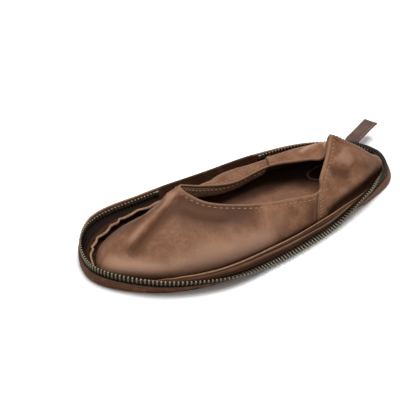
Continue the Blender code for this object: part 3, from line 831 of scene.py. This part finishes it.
def tape_line(t):
    """Middle line of the tape in section: its foot on the wall, where it leaves that and its top."""
    side = GAP + 0.5 * TAPE_THICK
    zip_lean = np.radians(rim_at(t)["zip_lean"])
    points = []
    for below in (TAPE_LAP, 0.0):
        out, height, lean = wall_line(t, zip_top(t) - below)
        points.append((out - side * np.cos(lean), height + side * np.sin(lean)))
    out, height = points[-1]
    points.append((out + TAPE_STAND * np.sin(zip_lean), height + TAPE_STAND * np.cos(zip_lean)))
    return points, lean, zip_lean


def make_tape(cloth):
    t = np.linspace(ZIP_START, ZIP_END, TAPE_ROWS)
    points, lean, zip_lean = tape_line(t)
    half = 0.5 * TAPE_THICK
    tilts = (lean, 0.5 * (lean + zip_lean), zip_lean)
    sides = []
    for side in (1, -1):
        line = [in_section(t, out + side * half * np.cos(tilt), height - side * half * np.sin(tilt))
                for (out, height), tilt in zip(points, tilts)]
        sides += line if side == 1 else line[::-1]
    along = np.repeat(t * RIM_LENGTH, len(sides))
    finish_tube("zip_tape_cloth", sides, cloth, "tape", "zip_tape", sharp=60, along=along)


def make_zip_cord(cloth):
    """Rolled edge of the tape that stands over the teeth round the heel."""
    t = np.linspace(STATION["heel_inner"], STATION["heel_outer"], CORD_ROWS)
    points, _, _ = tape_line(t)
    out, height = points[1]
    full = between(t, t[0], t[-1], 0.04, 0.05)
    radius = CORD_RADIUS * (CORD_END_SHARE + (1 - CORD_END_SHARE) * full)
    lines = []
    for angle in np.linspace(0, 2 * math.pi, CORD_SIDES, endpoint=False):
        lines.append(in_section(t, out + CORD_OUT + radius * math.cos(angle),
                                height + CORD_UP + radius * math.sin(angle)))
    finish_tube("zip_cord", lines, cloth, "tape", along=np.repeat(t * RIM_LENGTH, CORD_SIDES))


# One tooth from its clamp to its head: height above the tape, half length and half thickness.
# Heights below nought are shares of the leg that clamps the tape.
TOOTH_RINGS = (
    (-1.0, 0.46, 0.80), (-0.9, 0.66, 1.00), (-0.1, 0.74, 1.08), (0.8, 0.72, 1.02), (1.2, 0.60, 0.84),
    (1.7, 0.60, 0.84), (2.2, 0.78, 0.94), (2.7, 0.78, 0.92), (3.0, 0.52, 0.62),
)
TOOTH_CORNERS = ((1.0, 0.55), (0.55, 1.0), (-0.55, 1.0), (-1.0, 0.55),
                 (-1.0, -0.55), (-0.55, -1.0), (0.55, -1.0), (1.0, -0.55))


def make_teeth(metal):
    count = round((ZIP_END - ZIP_START) * RIM_LENGTH / TOOTH_PITCH)
    half_pitch = 0.5 * (ZIP_END - ZIP_START) / count
    t = np.linspace(ZIP_START + half_pitch, ZIP_END - half_pitch, count)
    points, _, zip_lean = tape_line(t)
    _, outward = edge_frame(t)
    base = in_section(t, *points[-1])
    level = np.column_stack([outward, np.zeros(count)])
    rise = np.array((0.0, 0.0, 1.0))
    up = np.sin(zip_lean)[:, None] * level + np.cos(zip_lean)[:, None] * rise
    across = np.cos(zip_lean)[:, None] * level - np.sin(zip_lean)[:, None] * rise
    way = np.cross(across, up)
    faces = tube_faces(len(TOOTH_RINGS), len(TOOTH_CORNERS))
    legs = TOOTH_LEG + WALL_DROP * zip_on_top(t)
    rubbed = [ease(TOOTH_PALE + TOOTH_PALER * high) for high, _, _ in TOOTH_RINGS]
    heads = np.repeat(rubbed, len(TOOTH_CORNERS))
    heel = between(t, STATION["back_inner"], STATION["heel_outer"], 0.03, 0.05)
    # Painted shade on the teeth round the heel.
    bright = 1.0 - HEEL_TOOTH_SHADE * heel
    tall = 1.0 - HEEL_TOOTH_SHORT * heel
    gathered = Pieces()
    for i in range(count):
        stretch = STOP_LENGTH if i in (0, count - 1) else 1.0
        rings = [base[i] + high * (tall[i] if high > 0 else legs[i]) * up[i]
                 + x * length * stretch * way[i] + y * thick * across[i]
                 for high, length, thick in TOOTH_RINGS for x, y in TOOTH_CORNERS]
        gathered.add(rings, faces, head=heads * bright[i])
    finish_piece("zip_teeth_metal", gathered, metal, "zip_teeth", sharp=55)


def facing_section(t, row):
    """The facing's middle line in section: its seat on the wall, its pull point and its free edge."""
    last = last_at(t)
    edge, outward = edge_frame(t)
    upper_out = ((on_floor(last["along"], last["across"]) - edge) * outward).sum(axis=1)
    seat_out, seat_height, lean = wall_line(t, zip_top(t) - row["bare"])
    over_zip = ease((TAPE_LAP - row["bare"]) / FACING_STEP + 0.5)
    side = GAP + 0.5 * FACING_THICK + FACING_OVER_ZIP * over_zip
    seat = np.column_stack([seat_out - side * np.cos(lean), seat_height + side * np.sin(lean)])
    turn = 2 * math.pi * t * RIM_LENGTH / WAVE_LENGTH
    turn = turn + WAVE_DRIFT * np.sin(WAVE_DRIFT_RATE * turn)
    ripple = RIPPLE_SHARE * row["wave"] * np.sin(turn)
    sway = row["wave"] * (np.sin(turn + 0.7) + FINE_WAVE * np.sin(FINE_WAVE_RATE * turn))
    free_out = seat[:, 0] + row["reach"] * (upper_out - seat[:, 0]) - sway
    free = np.column_stack([free_out, row["edge"] + ripple])
    knee = 0.5 * (seat + free) - np.column_stack([np.zeros_like(t), row["sag"]])
    return seat, 2 * knee - 0.5 * (seat + free), free


def make_facing(leather):
    """Thin strip from the wall to a free edge beside the upper, with a beaded edge and a fold line."""
    t = np.linspace(ZIP_START, ZIP_END, FACING_ROWS)
    row = facing_at(t)
    seat, pull, free = facing_section(t, row)
    length = np.linalg.norm(free - seat, axis=1)
    half = 0.5 * FACING_THICK
    top, under, crests, valleys = [], [], [], []

    def side_of(way):
        return unit(np.column_stack([-way[:, 1], way[:, 0]]))
    for s in np.append(np.linspace(0, 0.5, 6)[:-1], np.linspace(0.5, 1.0, 14)):
        centre = (1 - s) ** 2 * seat + 2 * s * (1 - s) * pull + s ** 2 * free
        down = side_of(2 * (1 - s) * (pull - seat) + 2 * s * (free - pull))
        from_lip = (1 - s) * length - row["lip"]
        crests.append(row["lip_rise"] * hump(from_lip, LIP_WIDTH))
        valleys.append(row["lip_rise"] * hump(from_lip + LIP_VALLEY_AT, LIP_WIDTH))
        lip = crests[-1] - LIP_VALLEY * valleys[-1]
        top.append(in_section(t, *(centre - (half + lip)[:, None] * down).T))
        under.append(in_section(t, *(centre + half * down).T))
    bead = []
    way = unit(free - pull)
    front = between(t, STATION["waist_outer"], STATION["toe_outer"], 0.04, 0.04)
    radius = (BEAD_RADIUS + BEAD_MORE * (ease((t - 1.0) / 0.04) + BEAD_FRONT * front))[:, None]
    for angle in np.radians(BEAD_ANGLES):
        spot = free + radius * (math.cos(angle) * way + math.sin(angle) * side_of(way))
        bead.append(in_section(t, *spot.T))
    lines = top + bead + under[::-1]
    # Round the heel the facing gets painted shade and loses the pale of its cut edge and crest.
    heel = between(t, STATION["heel_inner"], STATION["heel_outer"] + 0.03, 0.03, 0.04)
    toe = between(t, 0.98, 1.0 + STATION["ball_inner"], 0.04, 0.06)
    pale = np.zeros((FACING_ROWS, len(lines)))
    pale[:, :len(top)] = LIP_PALE * np.stack(crests, axis=1)
    pale[:, len(top) - 1:len(top) + len(bead)] = 1.0
    pale *= (1.0 - heel)[:, None]
    shade = np.zeros_like(pale) - heel[:, None]
    shade[:, :FACING_SEAT_COLUMNS] += FACING_SEAT_SHADE
    shade[:, :len(top) - 2] += FACING_TOE_SHADE * toe[:, None]
    shade[:, :len(top)] -= np.stack(valleys, axis=1)
    finish_tube("zip_facing_leather", lines, leather, "facing", "zip_facing", edge=pale, tone=shade)


# Insole, its tab and the strap

def insole_edge(t):
    """The insole's outline, a little inside the upper's inner face."""
    low = np.zeros_like(t)
    foot = skin(t, low) - UPPER_WALL * skin_normal(t, low)
    above = skin(t, low + 0.1) - UPPER_WALL * skin_normal(t, low + 0.1)
    way_in = above[:, :2] - foot[:, :2]
    share = (INSOLE_THICK + GAP) / (above[:, 2] - SOLE_THICK - GAP)
    tangent = unit(np.roll(foot[:, :2], -1, axis=0) - np.roll(foot[:, :2], 1, axis=0))
    inward = np.column_stack([tangent[:, 1], -tangent[:, 0]])
    depth = np.maximum(0.0, (way_in * share[:, None] * inward).sum(axis=1))
    return foot[:, :2] + (depth + INSOLE_MARGIN)[:, None] * inward, inward


def insole_height(x, y):
    """The insole's top, with soft dents where a foot has trodden it."""
    top = SOLE_THICK + GAP + INSOLE_THICK
    dent = DENT_DEPTH * hump(x - DENT_CENTRE[0], DENT_HALF[0]) * hump(y - DENT_CENTRE[1], DENT_HALF[1])
    waves = INSOLE_WAVE * np.sin(x / 9.0 + 0.6 * np.sin(y / 11.0)) * hump(x - WAVES_AT, WAVES_REACH)
    return top - dent - INSOLE_SINK + waves


def make_insole(leather):
    half = INSOLE_ROWS
    t = np.linspace(0, 1, 2 * half, endpoint=False)
    outline, inward = insole_edge(t)
    bottom = SOLE_THICK + GAP
    rims = []
    for inset, height in INSOLE_RIM:
        flat = outline + inset * inward
        rims.append(np.column_stack([flat, np.full(len(t), bottom + height)]))
    lip = outline + INSOLE_LIP * inward
    rims.append(np.column_stack([lip, insole_height(lip[:, 0], lip[:, 1])]))
    gathered = Pieces()
    rings = np.stack(rims, axis=1)
    faces = list(grid_faces(len(t), len(rims), rows_closed=True))
    faces.append([i * len(rims) for i in range(len(t))])
    gathered.add(rings, faces, tone=0.0)
    inner_side = lip[:half + 1]
    outer_side = np.concatenate([lip[:1], lip[:half - 1:-1]])
    share = np.linspace(0, 1, INSOLE_COLUMNS)[None, :, None]
    top = inner_side[:, None] * (1 - share) + outer_side[:, None] * share
    x, y = top.reshape(-1, 2).T
    # Painted shadow on the inner half of the insole under the arch.
    painted_shadow = INSOLE_PAINTED_SHADOW * hump(x - SHADOW_AT[0], SHADOW_REACH[0]) * ease((y - SHADOW_AT[1]) / SHADOW_REACH[1])
    faces = grid_faces(half + 1, INSOLE_COLUMNS)
    gathered.add(np.column_stack([x, y, insole_height(x, y)]), faces, tone=painted_shadow)
    finish_piece("insole_leather", gathered, leather, "insole", weld=True)


# The tab from near its middle to its edge and underside: share of its half size and height.
TAB_RINGS = ((0.3, 0.74), (0.6, 0.72), (0.72, 0.66), (0.78, 0.72), (0.82, 1.0), (0.87, 1.12),
             (0.92, 1.08), (0.955, 0.82), (0.985, 0.7), (1.0, 0.45), (1.0, 0.0))
# Its pale welt, partly pale piping and partly painted light that lets it show in the shade of the opening:
# share of the half size, and width.
WELT_AT = 0.87
WELT_WIDTH = 0.05


def make_tab(leather):
    angle = np.linspace(0, 2 * math.pi, PATCH_ROWS, endpoint=False)
    turn = math.radians(PATCH_TURN)
    base = SOLE_THICK + INSOLE_THICK + 2 * GAP
    rings, raised = [], []
    for share, height in TAB_RINGS:
        along, across = share * PATCH_HALF[0] * np.cos(angle), share * PATCH_HALF[1] * np.sin(angle)
        x = PATCH_CENTRE[0] + along * math.cos(turn) - across * math.sin(turn)
        y = PATCH_CENTRE[1] + along * math.sin(turn) + across * math.cos(turn)
        rings.append(np.column_stack([x, y, np.full(PATCH_ROWS, base + height * PATCH_THICK)]))
        raised.append(hump(share - WELT_AT, WELT_WIDTH))
    gathered = Pieces()
    faces = tube_faces(len(rings), PATCH_ROWS)
    gathered.add(np.stack(rings), faces, edge=np.repeat(raised, PATCH_ROWS))
    finish_piece("insole_tab", gathered, leather, "insole_patch")


def strap_path():
    edge, outward = edge_frame(np.array([STRAP_STATION]))
    row = dict(zip(STRAP_COLUMNS, np.array(STRAP).T))
    wall_way = math.atan2(outward[0, 1], outward[0, 0])
    heading = wall_way + row["turn"] * (math.radians(STRAP_HEADING) - wall_way)
    steps = np.diff(row["out"], prepend=0.0)[:, None]
    path = edge + np.cumsum(steps * np.column_stack([np.cos(heading), np.sin(heading)]), axis=0)
    made = smooth_line(np.column_stack([path, row["height"], heading * 10]), STRAP_ROWS)
    return made[:, :3], made[:, 3] / 10


def make_strap(leather, thread):
    path, heading = strap_path()
    share = np.linspace(0, 1, STRAP_ROWS)
    sideways = np.column_stack([-np.sin(heading), np.cos(heading), np.zeros(STRAP_ROWS)])
    lift = unit(np.cross(unit(np.gradient(path, axis=0)), sideways))
    half_wide = 0.5 * STRAP_WIDTH * (1 - STRAP_WAIST * np.sin(math.pi * share))
    half_thick = 0.5 * STRAP_THICK
    cup = STRAP_CUP * ease((share - 0.4) / 0.5)
    lines, edges = [], []
    upside = [(x, 1.0) for x in np.linspace(-0.93, 0.93, 15)] + [(0.99, 0.5), (1.0, 0.0), (0.99, -0.5)]
    for wide, thick in upside + [(-wide, -thick) for wide, thick in upside]:
        groove = STRAP_GROOVE * thick * hump(abs(wide) - STRAP_STITCH_AT, STRAP_GROOVE_WIDTH)
        crown = (cup * wide ** 2 - groove)[:, None]
        lines.append(path + (wide * half_wide)[:, None] * sideways + (thick * half_thick + crown) * lift)
        edges.append(ease((abs(wide) - 0.8) / 0.2))
    tip = ease((share - 0.96) / 0.04)
    edge = np.maximum(np.array(edges)[None, :], tip[:, None])
    finish_tube("strap_leather", lines, leather, "strap", "pull_strap", sharp=60, edge=edge)
    stitched = Pieces()
    free_end = slice(STRAP_STITCH_FROM, None)
    for wide in (-STRAP_STITCH_AT, STRAP_STITCH_AT):
        height = (half_thick + cup * wide ** 2 - 0.1)[:, None]
        line = path + (wide * half_wide)[:, None] * sideways + height * lift
        add_stitches(stitched, line[free_end], lift[free_end], STRAP_STITCH_PITCH, STRAP_STITCH,
                     radius=FINE_THREAD_RADIUS)
    finish_piece("strap_stitches", stitched, thread)


# Materials

# Leathers: their dark, middle and pale mottle, and the colour of their cut edges.
LEATHERS = {
    "upper":  ((0.092, 0.038, 0.019), (0.165, 0.076, 0.041), (0.240, 0.128, 0.080), (0.200, 0.105, 0.062)),
    "sole":   ((0.055, 0.021, 0.010), (0.090, 0.036, 0.018), (0.235, 0.125, 0.078), (0.270, 0.160, 0.095)),
    "insole": ((0.080, 0.035, 0.019), (0.150, 0.068, 0.039), (0.200, 0.098, 0.060), (0.270, 0.160, 0.095)),
    # The tab's welt colour is pale piping made paler still, painted light against the shade of the opening.
    "tab":    ((0.040, 0.018, 0.011), (0.070, 0.032, 0.020), (0.100, 0.050, 0.033), (0.620, 0.420, 0.320)),
    "facing": ((0.030, 0.012, 0.006), (0.050, 0.021, 0.011), (0.080, 0.038, 0.022), (0.270, 0.155, 0.095)),
    "strap":  ((0.040, 0.022, 0.016), (0.088, 0.054, 0.042), (0.145, 0.098, 0.080), (0.105, 0.068, 0.052)),
}
# Pale colour of the upper's painted highlights and sheen, and of its rubbed places.
UPPER_HIGHLIGHT_AND_WEAR = (0.325, 0.188, 0.126)
UPPER_LINING = (0.120, 0.055, 0.030)
# Colour of the painted shade in gaps.
GAP_SHADE_COLOUR = (0.016, 0.007, 0.004)
# Spots and relief of the leather, and the ribs of the tape, in millimetres.
BROAD_SIZE, CLOUD_SIZE, SPECK_SIZE = 34.0, 9.0, 1.7
WRINKLE_SIZE, SWELL_SIZE = 4.5, 16.0
RIB_PITCH = 0.8


def add(tree, kind, inputs=None, **settings):
    """A shader node with its settings, and its inputs linked from sockets or set to values."""
    node = tree.nodes.new("ShaderNode" + kind)
    for key, value in settings.items():
        setattr(node, key, value)
    for key, value in (inputs or {}).items():
        if isinstance(value, bpy.types.NodeSocket):
            tree.links.new(value, node.inputs[key])
        else:
            node.inputs[key].default_value = value
    return node


def new_material(name, **sockets):
    made = bpy.data.materials.new(name)
    made.use_nodes = True
    tree = made.node_tree
    shader = tree.nodes["Principled BSDF"]
    for key, value in sockets.items():
        shader.inputs[key.replace("_", " ")].default_value = value
    return made, tree, shader


def place(tree):
    return add(tree, "TexCoord").outputs["Object"]


def noise(tree, where, size, detail=3.0, rough=0.55):
    """Noise with spots of about that size in millimetres."""
    inputs = {"Vector": where, "Scale": 1.0 / (size * MM), "Detail": detail, "Roughness": rough}
    return add(tree, "TexNoise", inputs).outputs["Fac"]


def ramp(tree, share, stops):
    node = add(tree, "ValToRGB", {"Fac": share})
    elements = node.color_ramp.elements
    while len(elements) < len(stops):
        elements.new(0.5)
    for element, (position, colour) in zip(elements, stops):
        element.position = position
        element.color = (*colour, 1.0)
    return node.outputs["Color"]


def mix(tree, share, a, b):
    """One colour where the share is nought and another where it is one."""
    a, b = [(*c, 1.0) if isinstance(c, tuple) else c for c in (a, b)]
    return add(tree, "Mix", {0: share, 6: a, 7: b}, data_type="RGBA").outputs[2]


def maths(tree, operation, a, b=0.0):
    return add(tree, "Math", {0: a, 1: b}, operation=operation).outputs[0]


def remap(tree, value, low, high, to_low=0.0, to_high=1.0):
    inputs = {"Value": value, "From Min": low, "From Max": high, "To Min": to_low, "To Max": to_high}
    return add(tree, "MapRange", inputs).outputs["Result"]


def value_of(tree, name):
    return add(tree, "Attribute", attribute_name=name).outputs["Fac"]


def bump(tree, height, strength, depth, under=None):
    inputs = {"Height": height, "Strength": strength, "Distance": depth * MM}
    if under:
        inputs["Normal"] = under
    return add(tree, "Bump", inputs).outputs["Normal"]


def blend(tree, a, b, share):
    """A sum of two values, the second with that share."""
    return maths(tree, "ADD", maths(tree, "MULTIPLY", a, 1.0 - share), maths(tree, "MULTIPLY", b, share))


def leather(kind, painted_light_and_wear=None, shade=0.6, roughness=0.55, grain=1.1, relief=0.22, lining=None, **sockets):
    """Waxed leather: mottled colour, painted shade and highlight along the tone and the folds, pale cut
    edges, fine grain and pores.
    """
    dark, mid, pale, cut = LEATHERS[kind]
    painted_light_and_wear = painted_light_and_wear or pale
    made, tree, shader = new_material(kind + "_leather", **sockets)
    where = place(tree)
    broad = noise(tree, where, BROAD_SIZE, 2.0, 0.5)
    cloud = noise(tree, where, CLOUD_SIZE, 5.0, 0.65)
    speck = noise(tree, where, SPECK_SIZE, 4.0, 0.65)
    colour = ramp(tree, blend(tree, broad, cloud, 0.65), ((0.30, dark), (0.5, mid), (0.72, pale)))
    colour = mix(tree, remap(tree, speck, 0.42, 0.72, 0.0, 0.45), colour, dark)
    # The tone: painted shade below nought, and painted highlight with some wear above nought.
    tone_shift = value_of(tree, "tone")
    colour = mix(tree, remap(tree, tone_shift, 0.0, -1.0, 0.0, 0.9), colour, tuple(shade * c for c in dark))
    colour = mix(tree, remap(tree, tone_shift, 0.0, 1.0, 0.0, 0.8), colour, painted_light_and_wear)
    # Painted shade in the creases' troughs, and painted highlight with some rubbing on their crests.
    fold = value_of(tree, "fold")
    colour = mix(tree, remap(tree, fold, -0.2, -2.2, 0.0, 0.5), colour, dark)
    colour = mix(tree, remap(tree, fold, 0.3, 2.4, 0.0, 0.3), colour, painted_light_and_wear)
    # Darker towards the upper's base.
    colour = mix(tree, maths(tree, "MULTIPLY", value_of(tree, "base"), 0.55), colour, dark)
    # Painted shade in gaps.
    colour = mix(tree, maths(tree, "MULTIPLY", value_of(tree, "crack"), 0.9), colour, GAP_SHADE_COLOUR)
    if lining:
        inside = mix(tree, cloud, tuple(0.7 * c for c in lining), lining)
        colour = mix(tree, value_of(tree, "inside"), colour, inside)
    frayed = maths(tree, "MULTIPLY", value_of(tree, "edge"), remap(tree, speck, 0.3, 0.6, 0.55, 1.0))
    colour = mix(tree, frayed, colour, cut)
    tree.links.new(colour, shader.inputs["Base Color"])
    gloss = remap(tree, cloud, 0.3, 0.7, roughness - 0.08, roughness + 0.08)
    tree.links.new(gloss, shader.inputs["Roughness"])
    inputs = {"Vector": where, "Scale": 1.0 / (grain * MM), "Smoothness": 0.4}
    cells = add(tree, "TexVoronoi", inputs, feature="SMOOTH_F1")
    pebbles = maths(tree, "SUBTRACT", 1.0, cells.outputs["Distance"])
    normal = bump(tree, pebbles, relief, 0.25)
    normal = bump(tree, noise(tree, where, WRINKLE_SIZE, 5.0, 0.6), 0.35, 0.55, normal)
    normal = bump(tree, noise(tree, where, SWELL_SIZE, 2.0, 0.5), 0.35, 1.6, normal)
    tree.links.new(normal, shader.inputs["Normal"])
    return made


def suede(name, dark, pale):
    """Napped leather: soft, dull and fuzzy."""
    made, tree, shader = new_material(name, Roughness=0.95, Sheen_Weight=0.15, Sheen_Roughness=0.5,
                                      Sheen_Tint=(0.60, 0.38, 0.26, 1.0), Specular_IOR_Level=0.05)
    where = place(tree)
    nap = noise(tree, where, 0.9, 4.0, 0.7)
    blotch = noise(tree, where, 6.0, 3.0, 0.6)
    tone = blend(tree, nap, blotch, 0.5)
    tree.links.new(ramp(tree, tone, ((0.35, dark), (0.65, pale))), shader.inputs["Base Color"])
    tree.links.new(bump(tree, nap, 0.6, 0.5), shader.inputs["Normal"])
    return made


def woven_tape(name, dark, pale):
    """Twill of dark thread."""
    made, tree, shader = new_material(name, Roughness=0.9, Specular_IOR_Level=0.15)
    where = place(tree)
    inputs = {"Vector": where, "Scale": 420.0, "Distortion": 1.5, "Detail": 1.0}
    weave = add(tree, "TexWave", inputs, bands_direction="DIAGONAL").outputs["Fac"]
    ribs = maths(tree, "SINE", maths(tree, "MULTIPLY", value_of(tree, "along"), 2 * math.pi / RIB_PITCH))
    height = maths(tree, "ADD", weave, maths(tree, "MULTIPLY", ribs, 0.4))
    tree.links.new(ramp(tree, height, ((0.1, dark), (0.9, pale))), shader.inputs["Base Color"])
    tree.links.new(bump(tree, height, 0.5, 0.2), shader.inputs["Normal"])
    return made


def antique_metal(name):
    """Dark metal, rubbed paler on the heads of the teeth."""
    made, tree, shader = new_material(name, Metallic=1.0)
    where = place(tree)
    tone_shift = noise(tree, where, 1.6, 4.0, 0.6)
    head = value_of(tree, "head")
    dull = ramp(tree, tone_shift, ((0.3, (0.014, 0.011, 0.007)), (0.7, (0.045, 0.037, 0.026))))
    colour = mix(tree, head, dull, (0.165, 0.142, 0.102))
    tree.links.new(colour, shader.inputs["Base Color"])
    tree.links.new(remap(tree, tone_shift, 0.3, 0.7, 0.36, 0.58), shader.inputs["Roughness"])
    tree.links.new(bump(tree, tone_shift, 0.25, 0.08), shader.inputs["Normal"])
    return made


def waxed_thread(name, dark, pale):
    made, tree, shader = new_material(name, Roughness=0.6, Sheen_Weight=0.1)
    where = place(tree)
    inputs = {"Vector": where, "Scale": 900.0, "Distortion": 2.0}
    twist = add(tree, "TexWave", inputs, bands_direction="DIAGONAL").outputs["Fac"]
    tone = blend(tree, twist, noise(tree, where, 5.0, 2.0), 0.6)
    tree.links.new(ramp(tree, tone, ((0.25, dark), (0.7, pale))), shader.inputs["Base Color"])
    tree.links.new(bump(tree, twist, 0.5, 0.15), shader.inputs["Normal"])
    return made


# Stage

CAMERA_PLACE = (-0.5923, -0.7072, 0.6406)
CAMERA_TURN = (56.0, 0.0, -38.0)
CAMERA_LENS = 128.7
SKY_STRENGTH = 0.5
KEY_PLACE = (0.10, 0.0, 1.45)
KEY_SIZE = 1.1
KEY_POWER = 30.0
FLOOR_HALF = 4.0
FLOOR_COLOUR = (0.93, 0.93, 0.93, 1.0)


def make_stage():
    scene = bpy.context.scene
    scene.view_settings.view_transform = "Standard"
    lens = bpy.data.cameras.new("camera")
    lens.lens = CAMERA_LENS
    lens.clip_start = 0.01
    camera = bpy.data.objects.new("camera", lens)
    camera.location = CAMERA_PLACE
    camera.rotation_euler = [math.radians(angle) for angle in CAMERA_TURN]
    scene.collection.objects.link(camera)
    scene.camera = camera

    world = scene.world or bpy.data.worlds.new("world")
    scene.world = world
    world.use_nodes = True
    sky = world.node_tree.nodes["Background"]
    sky.inputs["Color"].default_value = (1.0, 1.0, 1.0, 1.0)
    sky.inputs["Strength"].default_value = SKY_STRENGTH

    lamp = bpy.data.lights.new("key", "AREA")
    lamp.shape = "RECTANGLE"
    lamp.size = KEY_SIZE
    lamp.size_y = KEY_SIZE
    lamp.energy = KEY_POWER
    key = bpy.data.objects.new("key", lamp)
    key.location = KEY_PLACE
    key.rotation_euler = (-key.location).to_track_quat("-Z", "Y").to_euler()
    scene.collection.objects.link(key)

    mesh = bmesh.new()
    bmesh.ops.create_grid(mesh, x_segments=2, y_segments=2, size=FLOOR_HALF)
    data = bpy.data.meshes.new("floor")
    mesh.to_mesh(data)
    mesh.free()
    paint = new_material("pale_floor", Roughness=0.9, Specular_IOR_Level=0.1, Base_Color=FLOOR_COLOUR)[0]
    data.materials.append(paint)
    floor = bpy.data.objects.new("floor", data)
    scene.collection.objects.link(floor)


def main():
    thread = waxed_thread("tan_thread", (0.17, 0.088, 0.036), (0.34, 0.190, 0.085))
    make_sole(leather("sole", shade=0.25, roughness=0.6, Specular_IOR_Level=0.05))
    make_upper(leather("upper", painted_light_and_wear=UPPER_HIGHLIGHT_AND_WEAR, lining=UPPER_LINING, shade=0.5, Specular_IOR_Level=0.07))
    make_collar_facing(suede("collar_suede", (0.08, 0.040, 0.022), (0.15, 0.083, 0.048)))
    make_upper_stitches(thread)
    make_heel_stitches(waxed_thread("rose_thread", (0.13, 0.070, 0.048), (0.20, 0.118, 0.088)))
    make_insole(leather("insole", roughness=0.62, relief=0.3, Specular_IOR_Level=0.2))
    make_tab(leather("tab", roughness=0.5))
    make_tape(woven_tape("tape_cloth", (0.004, 0.003, 0.002), (0.016, 0.010, 0.007)))
    make_zip_cord(woven_tape("cord_cloth", (0.010, 0.008, 0.006), (0.036, 0.030, 0.023)))
    make_teeth(antique_metal("zip_metal"))
    make_facing(leather("facing", shade=0.25, roughness=0.65, Specular_IOR_Level=0.04))
    strap_leather = leather("strap", roughness=0.65, grain=1.5, relief=0.5, Specular_IOR_Level=0.15)
    make_strap(strap_leather, thread)
    make_stage()


main()
